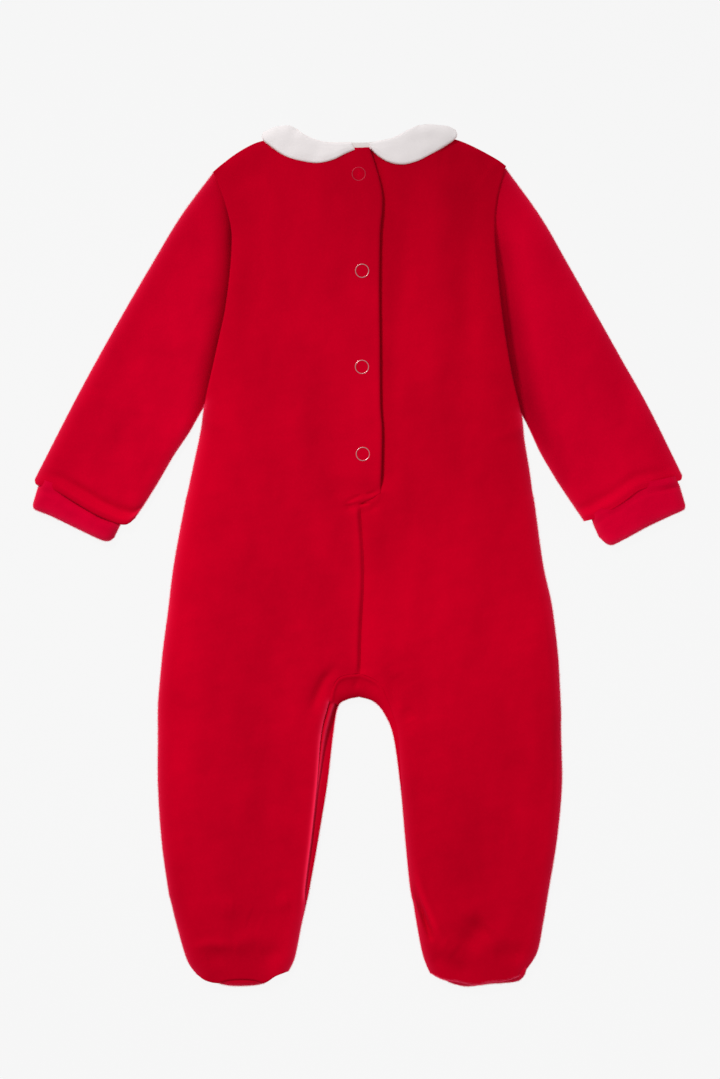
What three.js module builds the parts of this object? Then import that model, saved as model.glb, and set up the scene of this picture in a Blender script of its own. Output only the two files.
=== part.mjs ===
import * as THREE from 'three';

// Infant's footed onesie in red velour, laid flat with its back up, in millimetres.
// +X is to the right, +Y towards the collar and +Z up. The front rests on z = 0.

const CLOTH = 1.5;              // thickness of one layer of velour
const GAP = 0.3;                // space left between pieces at a seam
const HEIGHT = 6.9;             // top of the back above the surface
const RIM = 5;                  // how far in from an edge the cloth curves over
const FLAP_LIFT = 1.3;          // how far the flap rises to pass over the underlap
const UNDERLAP_DROP = 0.5;      // how far the underlap sinks below the flap
const COLLAR_LIFT = CLOTH + GAP; // the front rises this far over the collar under it
const TUCK_LOW = CLOTH + GAP;   // underside of the cloth tucked between front and back
const TUCK_HIGH = HEIGHT - CLOTH - GAP;
const RING_OUTER = 4.85;        // snap ring, outer radius
const RING_INNER = 3.75;
const RING_HEIGHT = 0.8;
const STUD_RADIUS = 4.5;
const STUD_HEIGHT = 0.8;
const STUD_HOLE = 1.6;
const MIDDLE = HEIGHT / 2;
const FLAP_END = [20, 33];      // y over which the flap starts to lift, above its lower end
const FLAP_SIDE = [-26, -11];   // x over which it lifts, on the left half
const UNDERLAP_SIDE = [16, 28]; // x over which the right half comes back up

// One row for each section of the left half, from toe to shoulder: the outer edge, the back's inner
// edge (inseam, centre seam, then the flap's edge) and the front's inner edge (inseam, then centre).
const LEFT = [
  // side x, y        back x, y         front x, y
  [-110.2, -285.9, -51.0, -283.9, -51.0, -283.9],
  [-117.0, -275.7, -44.6, -274.4, -44.6, -274.4],
  [-123.8, -252.6, -39.4, -252.6, -39.4, -252.6],
  [-127.4, -238.0, -36.9, -240.2, -36.5, -240.2],
  [-129.9, -226.8, -36.7, -226.8, -33.7, -226.8],
  [-134.3, -194.1, -32.6, -194.1, -27.9, -194.1],
  [-136.7, -156.7, -28.6, -156.7, -21.8, -156.7],
  [-136.7, -122.7, -25.8, -122.7, -17.7, -122.7],
  [-136.7, -103.0, -21.1, -103.0, -14.5, -104.0],
  [-135.3, -85.3, -14.3, -88.7, -8.8, -98.9],
  [-133.3, -64.9, 0.6, -80.8, 0.0, -96.9],
  [-129.9, -39.1, 1.6, -51.3, 0.0, -51.3],
  [-125.8, -6.5, 3.3, -10.5, 0.0, -10.5],
  [-118.3, 34.3, 0.7, 33.0, 0.0, 35.0],
  [-116.6, 41.5, 14.6, 41.8, 0.0, 41.8],
  [-112.9, 58.8, 15.4, 60.0, 0.0, 60.0],
  [-107.4, 84.7, 15.8, 84.7, 0.0, 84.7],
  [-104.7, 103.0, 14.6, 103.0, 0.0, 103.0],
  [-97.2, 137.0, 14.3, 142.5, 0.0, 142.5],
  [-89.8, 173.1, 13.9, 180.0, 0.0, 176.0],
  [-86.4, 213.9, 14.4, 217.3, 0.0, 210.0],
  [-91.1, 239.0, 15.7, 246.0, 0.0, 234.0],
  [-99.3, 260.1, 7.2, 276.8, 0.0, 258.0],
];

// The same for the right half, whose back ends in the underlap beneath the flap.
const RIGHT = [
  // side x, y       back x, y         front x, y
  [112.2, -284.6, 48.3, -284.6, 48.3, -284.6],
  [121.0, -271.0, 43.5, -272.3, 43.5, -272.3],
  [125.1, -251.3, 39.4, -251.3, 39.4, -251.3],
  [127.4, -238.0, 37.2, -238.0, 37.2, -238.0],
  [129.2, -226.8, 34.9, -226.8, 34.9, -226.8],
  [134.6, -194.1, 31.6, -194.1, 31.6, -194.1],
  [138.0, -156.7, 28.7, -156.7, 28.2, -156.7],
  [137.4, -122.7, 26.4, -122.7, 23.3, -122.7],
  [137.4, -107.1, 22.2, -107.1, 16.6, -107.1],
  [136.7, -92.1, 14.3, -88.1, 9.8, -99.9],
  [135.3, -68.3, 0.6, -80.8, 0.0, -96.9],
  [131.2, -35.0, 1.6, -51.3, 0.0, -51.3],
  [125.1, -6.5, 3.3, -10.5, 0.0, -10.5],
  [119.3, 35.0, 0.7, 33.0, 0.0, 35.0],
  [118.0, 41.5, 0.7, 41.8, 0.0, 41.8],
  [115.6, 58.8, -9.0, 60.0, 0.0, 60.0],
  [112.2, 79.2, -9.0, 84.7, 0.0, 84.7],
  [110.2, 96.9, -9.0, 103.0, 0.0, 103.0],
  [103.4, 125.5, -9.0, 142.5, 0.0, 142.5],
  [96.6, 169.7, -9.0, 180.0, 0.0, 176.0],
  [92.5, 215.2, -9.0, 217.3, 0.0, 210.0],
  [93.8, 241.1, -9.0, 244.5, 0.0, 234.0],
  [100.0, 264.2, -9.0, 276.6, 0.0, 258.0],
];

const INNER_CORNERS = [10, 13, 14];       // rows at which the backs' inner edges turn sharply
const CROTCH_ROW = 10;
const BAND_ROWS = { left: 3.5, right: 6 };  // rows at which the crotch band ends on each leg
const ARMHOLE_ROW = 17;                   // the side seam ends and the armhole starts here
const ROWS = [
  0, 0.03, 0.13, 0.3, 0.6, 1, 1.5, 2, 3, 3.5, 4, 4.5, 5, 5.5, 6, 6.5, 7, 7.5, 8, 8.5, 9, 9.5, 10,
  10.5, 11, 11.5, 12, 12.5, 13, 14, 15, 16, 17, 17.5, 18, 18.5, 19, 19.5, 20, 20.5, 21, 21.5,
  21.78, 21.88, 21.95, 22,
];
const FRONT_ROWS = [
  0, 0.03, 0.13, 0.3, 0.6, 1, 2, 3, 3.5, 4, 4.5, 5, 5.5, 6, 6.5, 7, 7.5, 8, 8.5, 9, 9.5, 10,
  10.02, 10.06, 10.13, 10.4, 11, 12, 13, 15, 16, 17, 18, 19, 19.5, 20, 20.5, 21, 21.5,
  21.78, 21.88, 21.95, 22,
];

// Top edges, from the shoulder tip over the shoulder and along the neck to the row's inner end.
const LEFT_TOP = [
  [-99.3, 260.1], [-86.4, 271.0], [-72.8, 279.1], [-61.9, 282.5], [-46.9, 285.6],
  [-36.7, 279.8], [-23.1, 277.1], [-11.6, 276.6], [7.2, 276.8],
];
const RIGHT_TOP = [
  [100.0, 264.2], [90.4, 271.0], [74.8, 279.1], [63.2, 283.2], [48.3, 285.9],
  [38.1, 280.5], [24.5, 277.4], [8.0, 276.6], [-9.0, 276.6],
];
const LEFT_FRONT_TOP = [
  [-99.3, 260.1], [-86.4, 271.0], [-72.8, 279.1], [-61.9, 282.5], [-46.9, 285.6],
  [-38.0, 277.0], [-26.0, 266.5], [-13.0, 260.0], [0.0, 258.0],
];
const RIGHT_FRONT_TOP = [
  [100.0, 264.2], [90.4, 271.0], [74.8, 279.1], [63.2, 283.2], [48.3, 285.9],
  [39.0, 277.0], [26.0, 266.5], [13.0, 260.0], [0.0, 258.0],
];
const LEFT_TOE = [
  [-110.2, -285.9], [-104.7, -288.2], [-94.5, -288.8], [-80.9, -288.4], [-68.0, -289.2],
  [-58.1, -287.6], [-51.0, -283.9],
];
const RIGHT_TOE = [
  [112.2, -284.6], [106.1, -288.2], [97.9, -289.2], [84.9, -289.5], [70.3, -291.6],
  [56.1, -289.8], [48.3, -284.6],
];

// Sleeves: one row for each section from the armhole to the hem, outer edge then underarm edge.
const SLEEVE_LEFT = {
  rows: [
    [-99.0, 259.8, -100.6, 105.7],
    [-121.0, 230.2, -106.6, 99.0],
    [-140.8, 197.5, -115.6, 83.3],
    [-159.8, 164.9, -126.5, 67.0],
    [-178.2, 132.3, -136.0, 50.7],
    [-195.8, 99.6, -146.2, 34.3],
    [-220.1, 48.4, -157.8, 20.4],
  ],
  tuck: [
    [-99.0, 259.8], [-88.6, 243.0], [-82.3, 213.9], [-84.4, 183.3], [-88.7, 159.5],
    [-94.2, 135.7], [-99.0, 114.0], [-100.6, 105.7],
  ],
  hem: [[-220.1, 48.4], [-205.7, 45.6], [-192.4, 36.0], [-177.1, 26.5], [-157.8, 20.4]],
  cuff: [[-218.8, 46.2], [-205.4, 44.4], [-192.0, 34.8], [-176.8, 25.4], [-162.0, 19.0]],
  end: [[-221.9, 31.6], [-209.4, 26.2], [-192.4, 18.0], [-173.4, 9.4], [-166.8, 11.4]],
};
const SLEEVE_RIGHT = {
  rows: [
    [99.7, 262.6, 103.6, 99.6],
    [123.1, 230.2, 111.6, 94.2],
    [142.1, 197.5, 123.1, 70.4],
    [160.5, 164.9, 131.0, 56.6],
    [178.8, 132.3, 138.0, 45.4],
    [197.2, 99.6, 145.5, 34.3],
    [219.4, 51.6, 153.4, 22.6],
  ],
  tuck: [
    [99.7, 262.6], [89.6, 241.0], [88.2, 215.2], [89.4, 193.5], [92.2, 166.3],
    [97.4, 139.1], [101.4, 115.3], [103.6, 99.6],
  ],
  hem: [[219.4, 51.6], [206.8, 47.2], [191.5, 43.8], [178.2, 34.4], [162.7, 26.4], [153.4, 22.6]],
  cuff: [[218.0, 48.0], [206.7, 45.9], [191.1, 42.3], [177.7, 33.0], [162.3, 25.1], [155.6, 22.2]],
  end: [[222.1, 31.2], [211.5, 26.2], [195.8, 18.7], [179.5, 9.9], [170.7, 6.5], [163.4, 12.0]],
};

// Soles: the fold along the toe, and how deep the folded cloth runs into the foot.
const SOLE_DEPTH = 26;
const FOOT_TOP = -264;          // no fold sinks below this line, over the soles
const SOLE_LEFT = [[-102.6, -287.4], [-95.5, -291.6], [-80.9, -293.4], [-66.0, -292.2], [-59.4, -288.0]];
const SOLE_RIGHT = [[103.6, -288.0], [95.9, -291.8], [78.9, -293.4], [65.3, -293.3], [56.0, -289.8]];

// Collar halves: neck edge and outer edge from centre back to the shoulder, then from the shoulder
// to centre front, and the line over the shoulder at which the collar turns under.
const COLLAR_LEFT = {
  backNeck: [[-4.8, 279.8], [-18.4, 279.8], [-26.5, 281.2], [-32.6, 283.2], [-37.4, 285.6], [-42.4, 289.3]],
  backOuter: [[-2.7, 275.1], [-9.5, 272.3], [-17.7, 268.3], [-27.2, 266.2], [-38.1, 267.2],
    [-49.0, 270.3], [-58.5, 276.4], [-65.6, 282.6], [-64.8, 287.4]],
  fold: [[-42.4, 289.3], [-46.6, 291.9], [-52.4, 291.8], [-58.0, 290.8], [-64.8, 287.4]],
  frontNeck: [[-1.4, 260.6], [-12.0, 263.0], [-24.0, 269.0], [-34.0, 278.5], [-42.4, 289.3]],
  frontOuter: [[-2.6, 242.0], [-16.0, 237.5], [-31.0, 240.5], [-45.0, 250.5], [-55.0, 264.0],
    [-62.5, 277.0], [-64.8, 287.4]],
};
const COLLAR_RIGHT = {
  backNeck: [[9.6, 279.9], [19.7, 282.2], [26.5, 284.6], [31.3, 287.3], [36.0, 289.7], [41.0, 292.0]],
  backOuter: [[11.0, 273.6], [19.0, 267.6], [28.6, 265.2], [38.1, 266.9], [47.6, 271.3],
    [56.4, 276.4], [66.2, 283.6], [65.4, 289.2]],
  fold: [[41.0, 292.0], [47.0, 292.9], [54.0, 292.3], [60.5, 291.6], [65.4, 289.2]],
  frontNeck: [[1.4, 260.6], [12.0, 263.0], [24.0, 269.0], [34.0, 279.5], [41.0, 292.0]],
  frontOuter: [[2.6, 242.0], [16.0, 237.5], [31.0, 240.5], [45.0, 250.5], [55.0, 264.0],
    [62.8, 278.0], [65.4, 289.2]],
};

// Neck edges that the binding follows, from the right end of the flap round the front and back.
const BINDING_WIDTH = 2.9;
const BINDING_TURN = 38;        // x at which the binding passes from back to front
const BACK_NECK = [[-38.0, 282.4], [-33.0, 280.0], [-23.1, 277.8], [-11.6, 277.0], [8.0, 277.1],
  [24.5, 278.2], [33.0, 280.2], [38.0, 282.6]];
const BINDING_START = [8.2, 3, -3, -11, -18, -26, -33];   // x of its points on the flap's side
const BINDING_FRONT = [-37, -32, -26, -19, -12, -6, 0, 6, 12, 19, 26, 32, 37];
const BINDING_END = [34, 28, 22, 16, 12, 8.8];             // and on the right half, back to the flap
const FRONT_NECK = [[-38.0, 282.4], [-32.0, 274.0], [-26.0, 268.6], [-19.0, 264.8], [-10.0, 261.4],
  [0.0, 260.0], [10.0, 261.4], [19.0, 264.8], [26.0, 268.6], [32.0, 274.0], [38.0, 282.6]];

// Snap centres on the flap.
const SNAPS = [[-0.2, 258.7], [2.1, 192.8], [2.0, 127.5], [2.6, 68.3]];

// Broad folds of the back: a soft line from one point to another, half as deep at its width.
const FOLDS = [
  // x0, y0, x1, y1, width, height
  [75.5, 262.0, 73.0, 90.0, 10, -0.9],
  [53.0, 232.0, 54.0, 110.0, 9, 0.6],
  [33.0, 250.0, 30.0, 170.0, 8, -0.6],
  [-66.0, 236.0, -60.0, 140.0, 10, -0.8],
  [-105.0, 30.0, -112.0, -70.0, 10, 0.7],
  [-38.0, -104.0, -14.0, -68.0, 5, -0.9],
  [-86.0, -239.0, -52.0, -236.0, 6, 0.7],
  [-106.0, -265.5, -86.0, -265.5, 4, 0.5],
  [46.0, -196.0, 52.0, -258.0, 5, 0.7],
  [90.0, -276.0, 108.0, -276.0, 5, 0.5],
];

const RED = { rough: 0.95, metal: 0 };
const WHITE = { rough: 0.85, metal: 0 };
const METAL = { rough: 0.25, metal: 1 };
const COLOURS = {
  back_left: 0xbf0021, back_right: 0xbb0120, front: 0xb80120, crotch_band: 0xb4011f,
  sleeve_left: 0xc70025, sleeve_right: 0xc40124, cuff_left: 0xc20024, cuff_right: 0xc00024,
  sole_left: 0xae001d, sole_right: 0xae001d, collar: 0xece3e1, binding: 0xf0eae8,
  ring: 0xd9b8bc, stud: 0xc4c4c8,
};

const clamp = (x) => Math.min(1, Math.max(0, x));
const smooth = (a, b, x) => {
  const s = clamp((x - a) / (b - a));
  return s * s * (3 - 2 * s);
};
const mix = (a, b, s) => a + (b - a) * s;
const mixPoint = (p, q, s) => p.map((value, k) => mix(value, q[k], s));

// A smooth curve through the points at a row number, which turns sharply at the listed corners.
function curveAt(points, row, corners = []) {
  const last = points.length - 1;
  const i = Math.min(last - 1, Math.floor(row));
  const s = row - i;
  const p1 = points[i];
  const p2 = points[i + 1];
  const p0 = i > 0 && !corners.includes(i) ? points[i - 1] : p1;
  const p3 = i + 1 < last && !corners.includes(i + 1) ? points[i + 2] : p2;
  return [0, 1].map((k) => {
    const a = (p2[k] - p0[k]) / 2;
    const b = (p3[k] - p1[k]) / 2;
    const d = p2[k] - p1[k];
    return p1[k] + a * s + (3 * d - 2 * a - b) * s * s + (a + b - 2 * d) * s * s * s;
  });
}

// The curve as short straight steps.
function sampled(points) {
  const steps = 6;
  const count = (points.length - 1) * steps + 1;
  return Array.from({ length: count }, (_, k) => curveAt(points, k / steps));
}

// The point at a share of a curve's length.
function alongCurve(points) {
  const line = sampled(points);
  const sums = [0];
  for (let k = 1; k < line.length; k += 1) {
    sums.push(sums[k - 1] + Math.hypot(line[k][0] - line[k - 1][0], line[k][1] - line[k - 1][1]));
  }
  return (share) => {
    const want = share * sums[sums.length - 1];
    let k = 1;
    while (k < line.length - 1 && sums[k] < want) k += 1;
    const s = (want - sums[k - 1]) / (sums[k] - sums[k - 1]);
    return mixPoint(line[k - 1], line[k], s);
  };
}

// An outline is a list of stretches, each with its points and how far the cloth curves over at it,
// from 0 (a plain edge) to 1 (the edge reaches mid height). It gives that share and the way in.
function makeOutline(stretches, width = RIM) {
  const segments = [];
  for (const { points, weight, seam = true } of stretches) {
    for (let k = 0; k < points.length - 1; k += 1) {
      segments.push({ a: points[k], b: points[k + 1], wa: weight(k), wb: weight(k + 1), seam });
    }
  }
  return (x, y, inward) => {
    let best = { distance: Infinity };
    for (const { a, b, wa, wb, seam } of segments) {
      const dx = b[0] - a[0];
      const dy = b[1] - a[1];
      const s = clamp(((x - a[0]) * dx + (y - a[1]) * dy) / (dx * dx + dy * dy));
      const px = x - a[0] - dx * s;
      const py = y - a[1] - dy * s;
      const distance = Math.hypot(px, py);
      const weight = mix(wa, wb, s);
      if (distance < best.distance - 1e-9 && weight > 0) best = { distance, px, py, weight, seam };
    }
    const curl = best.distance < width ? best.weight * (1 - best.distance / width) : 0;
    const way = best.distance > 0.2 ? [best.px / best.distance, best.py / best.distance] : inward;
    return { curl, way, seam: best.seam };
  };
}

// Both faces of a layer of cloth at a point. side is 1 for an upper layer and -1 for a lower one,
// middle and half are the height that its edge curves to and the height above or below that.
function layer(outline, x, y, inward, side, middle, half) {
  const { curl, way, seam } = outline(x, y, inward);
  const flat = Math.sqrt(Math.max(0, 1 - curl * curl));
  const edge = seam ? (GAP / 2) * (1 - flat) : 0;
  const inset = CLOTH * curl;
  return {
    outer: [x, y, middle + side * (half * flat + edge)],
    inner: [x + way[0] * inset, y + way[1] * inset, middle + side * ((half - CLOTH) * flat + edge)],
  };
}

// A closed body from a sheet of four-sided faces, whose points each have an outer and inner place.
function closedSheet(grids) {
  const index = new Map();
  const outer = [];
  const inner = [];
  const quads = [];
  const place = (point) => {
    const key = point.outer.map((value) => value.toFixed(3)).join(' ');
    if (!index.has(key)) {
      index.set(key, outer.length);
      outer.push(point.outer);
      inner.push(point.inner);
    }
    return index.get(key);
  };
  for (const grid of grids) {
    for (let r = 0; r < grid.length - 1; r += 1) {
      for (let c = 0; c < grid[r].length - 1; c += 1) {
        quads.push([grid[r][c], grid[r][c + 1], grid[r + 1][c + 1], grid[r + 1][c]].map(place));
      }
    }
  }
  const count = outer.length;
  const faces = [];
  const edges = new Map();
  for (const quad of quads) {
    const corners = quad.filter((v, k) => v !== quad[(k + 1) % 4]);
    for (let k = 2; k < corners.length; k += 1) {
      faces.push([corners[0], corners[k - 1], corners[k]]);
      faces.push([corners[0] + count, corners[k] + count, corners[k - 1] + count]);
    }
    corners.forEach((v, k) => {
      const next = corners[(k + 1) % corners.length];
      edges.set(`${v} ${next}`, [v, next]);
    });
  }
  for (const [a, b] of edges.values()) {
    if (edges.has(`${b} ${a}`)) continue;
    faces.push([b, a, a + count], [b, a + count, b + count]);
  }
  const geometry = new THREE.BufferGeometry();
  geometry.setAttribute('position', new THREE.Float32BufferAttribute([...outer, ...inner].flat(), 3));
  geometry.setIndex(faces.flat());
  return geometry;
}

// Shares across a row of the given length: close together near both ends, where the cloth curves.
function stops(length, inside) {
  const near = [0, 0.7, 2.3, RIM];
  const list = [...near];
  for (let k = 1; k < inside; k += 1) list.push(mix(RIM, length - RIM, k / inside));
  for (const value of [...near].reverse()) list.push(length - value);
  return list.map((value) => value / length);
}

// One half of the body: its edges at any row, its top and toe curves, and the row of the band's end.
function halfBody(table, sign, top, frontTop, toe, bandEnd) {
  const column = (k) => table.map((row) => [row[k], row[k + 1]]);
  const columns = { side: column(0), back: column(2), front: column(4) };
  const corners = { side: [], back: INNER_CORNERS, front: [CROTCH_ROW] };
  return {
    sign, top, frontTop, toe, bandEnd,
    at: (name, row) => curveAt(columns[name], row, corners[name]),
  };
}

const HALVES = {
  left: halfBody(LEFT, -1, LEFT_TOP, LEFT_FRONT_TOP, LEFT_TOE, BAND_ROWS.left),
  right: halfBody(RIGHT, 1, RIGHT_TOP, RIGHT_FRONT_TOP, RIGHT_TOE, BAND_ROWS.right),
};

function sideLine(half) {
  return Array.from({ length: 3 * (LEFT.length - 1) + 1 }, (_, k) => half.at('side', k / 3));
}

const SIDE_LINES = { left: sideLine(HALVES.left), right: sideLine(HALVES.right) };

// The body's outline on one half: side seam, inseam, toe corners and shoulder all curve over.
function bodyOutline(half) {
  const rowPoints = (name, from, to, steps) => {
    const out = [];
    for (let k = 0; k <= (to - from) * steps; k += 1) out.push(half.at(name, from + k / steps));
    return out;
  };
  const armhole = ARMHOLE_ROW * 6;
  const side = rowPoints('side', 0, ARMHOLE_ROW, 6);
  const inseam = rowPoints('front', 0, CROTCH_ROW, 6);
  const toe = alongCurve(half.toe);
  const toePoints = Array.from({ length: 41 }, (_, k) => toe(k / 40));
  const shoulder = sampled(half.top.slice(0, 5));
  return [
    { points: side, weight: (k) => 1 - smooth(armhole - 7, armhole, k) },
    { points: inseam, weight: () => 1 },
    { points: toePoints, weight: (k) => Math.max(1 - smooth(0, 7, k), smooth(33, 40, k)) },
    { points: shoulder, weight: (k) => smooth(0, 5, k) * (1 - smooth(19, 24, k)) },
  ];
}

const bodyEdge = makeOutline([...bodyOutline(HALVES.left), ...bodyOutline(HALVES.right)]);

function foldHeight(x, y) {
  let sum = 0;
  for (const [x0, y0, x1, y1, width, height] of FOLDS) {
    const dx = x1 - x0;
    const dy = y1 - y0;
    const s = clamp(((x - x0) * dx + (y - y0) * dy) / (dx * dx + dy * dy));
    const distance = Math.hypot(x - x0 - dx * s, y - y0 - dy * s);
    sum += height * Math.exp(-Math.LN2 * (distance / width) ** 2);
  }
  const room = sum < 0 ? smooth(FOOT_TOP, FOOT_TOP + 12, y) : 1;
  return sum * room * smooth(0, 12, bodyDepth(x, y));
}

// How far a point lies in from the body's sides.
function bodyDepth(x, y) {
  let best = Infinity;
  for (const line of Object.values(SIDE_LINES)) {
    for (const point of line) best = Math.min(best, Math.hypot(x - point[0], y - point[1]));
  }
  return best;
}

// The flap's lift on the left half, or the underlap's drop on the right.
function lap(half, x, y) {
  const up = smooth(...FLAP_END, y);
  if (half.sign < 0) return up * smooth(...FLAP_SIDE, x) * FLAP_LIFT;
  return -up * (1 - smooth(...UNDERLAP_SIDE, x)) * UNDERLAP_DROP;
}

function backTop(half, x, y) {
  return HEIGHT + lap(half, x, y) + foldHeight(x, y);
}

// A point of one half of the body, from its row and its share of the way in from the side.
function bodyPoint(half, name, row, share, pull) {
  const side = half.at('side', row);
  const inside = half.at(name, row);
  const end = [inside[0] + half.sign * pull, inside[1]];
  const straight = mixPoint(side, end, share);
  const topRow = LEFT.length - 1;
  const add = (points, row0, amount) => {
    const curve = alongCurve(points)(share);
    const chord = mixPoint(half.at('side', row0), half.at(name, row0), share);
    straight[0] += (curve[0] - chord[0]) * amount;
    straight[1] += (curve[1] - chord[1]) * amount;
  };
  add(name === 'back' ? half.top : half.frontTop, topRow, smooth(16, topRow, row));
  add(half.toe, 0, 1 - smooth(0, 2.5, row));
  return straight;
}

// Which way is inward at the rows' ends and at the top and toe.
function inwardAt(half, row, share) {
  const across = -half.sign * (share < 0.5 ? 1 : -1);
  const topRow = LEFT.length - 1;
  if (row >= topRow - 1e-6) return [across * (share < 0.02 ? 0.7 : 0), -1];
  if (row <= 1e-6) return [across * (share < 0.02 || share > 0.98 ? 0.7 : 0), 1];
  return [across, 0];
}

function normalised(way) {
  const length = Math.hypot(...way);
  return way.map((value) => value / length);
}

function backPanel(half) {
  const grid = ROWS.map((row) => {
    const side = half.at('side', row);
    const inside = half.at('back', row);
    const length = Math.hypot(side[0] - inside[0], side[1] - inside[1]);
    const seamed = row >= half.bandEnd && row <= 14;
    const pull = seamed || half.sign < 0 ? GAP / 2 : 0;
    const points = stops(length, 7).map((share) => {
      const [x, y] = bodyPoint(half, 'back', row, share, pull);
      const inward = normalised(inwardAt(half, row, share));
      const point = layer(bodyEdge, x, y, inward, 1, MIDDLE, MIDDLE);
      const rise = backTop(half, x, y) - HEIGHT;
      const flat = (point.outer[2] - MIDDLE) / MIDDLE;
      point.outer[2] += rise * flat;
      point.inner[2] += rise * flat;
      return point;
    });
    return half.sign < 0 ? points : points.reverse();
  });
  return closedSheet([grid]);
}

// How far the front rises over the collar that lies under it.
function frontRise(x, y) {
  const across = 1 - smooth(70, 82, Math.abs(x));
  return COLLAR_LIFT * across * smooth(204, 222, y);
}

function frontGrid(half) {
  return FRONT_ROWS.map((row) => {
    const side = half.at('side', row);
    const inside = half.at('front', row);
    const length = Math.hypot(side[0] - inside[0], side[1] - inside[1]);
    const points = stops(length, 6).map((share) => {
      const [x, y] = bodyPoint(half, 'front', row, share, 0);
      const inward = normalised(inwardAt(half, row, share));
      const point = layer(bodyEdge, x, y, inward, -1, MIDDLE, MIDDLE);
      const flat = (MIDDLE - point.outer[2]) / MIDDLE;
      point.outer[2] += frontRise(x, y) * flat;
      point.inner[2] += frontRise(x, y) * flat;
      return point;
    });
    return half.sign < 0 ? points.reverse() : points;
  });
}

function frontPanel() {
  return closedSheet([frontGrid(HALVES.left), frontGrid(HALVES.right)]);
}

// The band lies between the front's inseam edge and the back's, from one leg to the other.
function crotchBand() {
  const list = [];
  for (const row of ROWS.filter((value) => value >= BAND_ROWS.left && value <= CROTCH_ROW)) {
    list.push([HALVES.left, row]);
  }
  for (const row of ROWS.filter((value) => value >= BAND_ROWS.right && value < CROTCH_ROW).reverse()) {
    list.push([HALVES.right, row]);
  }
  const grid = list.map(([half, row]) => {
    const edge = half.at('front', row);
    const seam = half.at('back', row);
    const length = Math.hypot(seam[0] - edge[0], seam[1] - edge[1]);
    const way = normalised([seam[0] - edge[0], seam[1] - edge[1]]);
    const end = Math.max(0.6, length - GAP);
    const reach = [0, 0.05, 0.17, 0.36, 0.62, 1].map((share) => share * end);
    return reach.map((value) => {
      const x = edge[0] + way[0] * value;
      const y = edge[1] + way[1] * value;
      return layer(bodyEdge, x, y, way, 1, MIDDLE, MIDDLE);
    });
  });
  return closedSheet([grid]);
}

// How far a point lies outside the body's side at its height.
function outsideBody(half, x, y) {
  const line = SIDE_LINES[half.sign < 0 ? 'left' : 'right'];
  let best = Infinity;
  let sign = 1;
  for (let k = 0; k < line.length - 1; k += 1) {
    const [ax, ay] = line[k];
    const [bx, by] = line[k + 1];
    const s = clamp(((x - ax) * (bx - ax) + (y - ay) * (by - ay)) / ((bx - ax) ** 2 + (by - ay) ** 2));
    const distance = Math.hypot(x - mix(ax, bx, s), y - mix(ay, by, s));
    if (distance < best) {
      best = distance;
      sign = Math.sign((x - mix(ax, bx, s)) * half.sign) || 1;
    }
  }
  return sign * best;
}

const ACROSS = [0, 0.008, 0.028, 0.065, 0.2, 0.4, 0.6, 0.8, 0.935, 0.972, 0.992, 1];
const SLEEVE_SHARES = [0, 0.02, 0.045, 0.08, 0.13, 0.2, 0.3, 0.42, 0.55, 0.68, 0.8, 0.9, 1];

// A folded piece: its upper layer and lower layer meet along the fold and are seamed at the other
// edge. place gives a point from two shares, span its height limits there.
function foldedPiece(place, span, outline, alongShares, acrossShares, inwardOf) {
  const face = (side) => alongShares.map((v) => acrossShares.map((u) => {
    const [x, y] = place(u, v);
    const { low, high } = span(x, y);
    const way = normalised(inwardOf(u, v));
    return layer(outline, x, y, way, side, (low + high) / 2, (high - low) / 2);
  }));
  const upper = face(1);
  const lower = face(-1);
  return alongShares.map((_, k) => [...[...lower[k]].reverse(), ...upper[k].slice(1)]);
}

function sleeveGrid(half, table) {
  const outerPoints = table.rows.map((row) => [row[0], row[1]]);
  const innerPoints = table.rows.map((row) => [row[2], row[3]]);
  const last = table.rows.length - 1;
  const tuck = alongCurve(table.tuck);
  const hem = alongCurve(table.hem);
  const place = (u, v) => {
    const row = v * last;
    const point = mixPoint(curveAt(outerPoints, row), curveAt(innerPoints, row), u);
    const add = (curve, row0, amount) => {
      const chord = mixPoint(outerPoints[row0], innerPoints[row0], u);
      const bend = curve(u);
      point[0] += (bend[0] - chord[0]) * amount;
      point[1] += (bend[1] - chord[1]) * amount;
    };
    add(tuck, 0, 1 - smooth(0, 0.6, v));
    add(hem, last, smooth(0.55, 1, v));
    return point;
  };
  const span = (x, y) => {
    const out = outsideBody(half, x, y);
    return {
      low: TUCK_LOW * (1 - smooth(1.2, 10, out)),
      high: mix(TUCK_HIGH, HEIGHT, smooth(1.5, 12, out)),
    };
  };
  const outline = makeOutline([
    { points: sampled(outerPoints), weight: () => 1, seam: false },
    { points: sampled(innerPoints), weight: () => 1, seam: true },
  ]);
  const inward = (u) => [half.sign * (u < 0.5 ? -0.87 : 0.87), u < 0.5 ? -0.49 : 0.49];
  return foldedPiece(place, span, outline, SLEEVE_SHARES, ACROSS, inward);
}

function sleeve(half, table) {
  const grid = sleeveGrid(half, table);
  return closedSheet([half.sign < 0 ? grid : grid.map((row) => [...row].reverse())]);
}

function cuff(half, table) {
  const start = alongCurve(table.cuff);
  const end = alongCurve(table.end);
  const place = (u, v) => mixPoint(start(u), end(u), v);
  const span = () => ({ low: 0, high: HEIGHT });
  const outline = makeOutline([
    { points: [table.cuff[0], table.end[0]], weight: () => 1, seam: false },
    { points: [table.cuff.at(-1), table.end.at(-1)], weight: () => 1, seam: true },
  ]);
  const inward = (u) => [half.sign * (u < 0.5 ? -0.87 : 0.87), u < 0.5 ? -0.49 : 0.49];
  const grid = foldedPiece(place, span, outline, [0, 0.33, 0.67, 1], ACROSS, inward);
  return closedSheet([half.sign < 0 ? grid : grid.map((row) => [...row].reverse())]);
}

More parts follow.
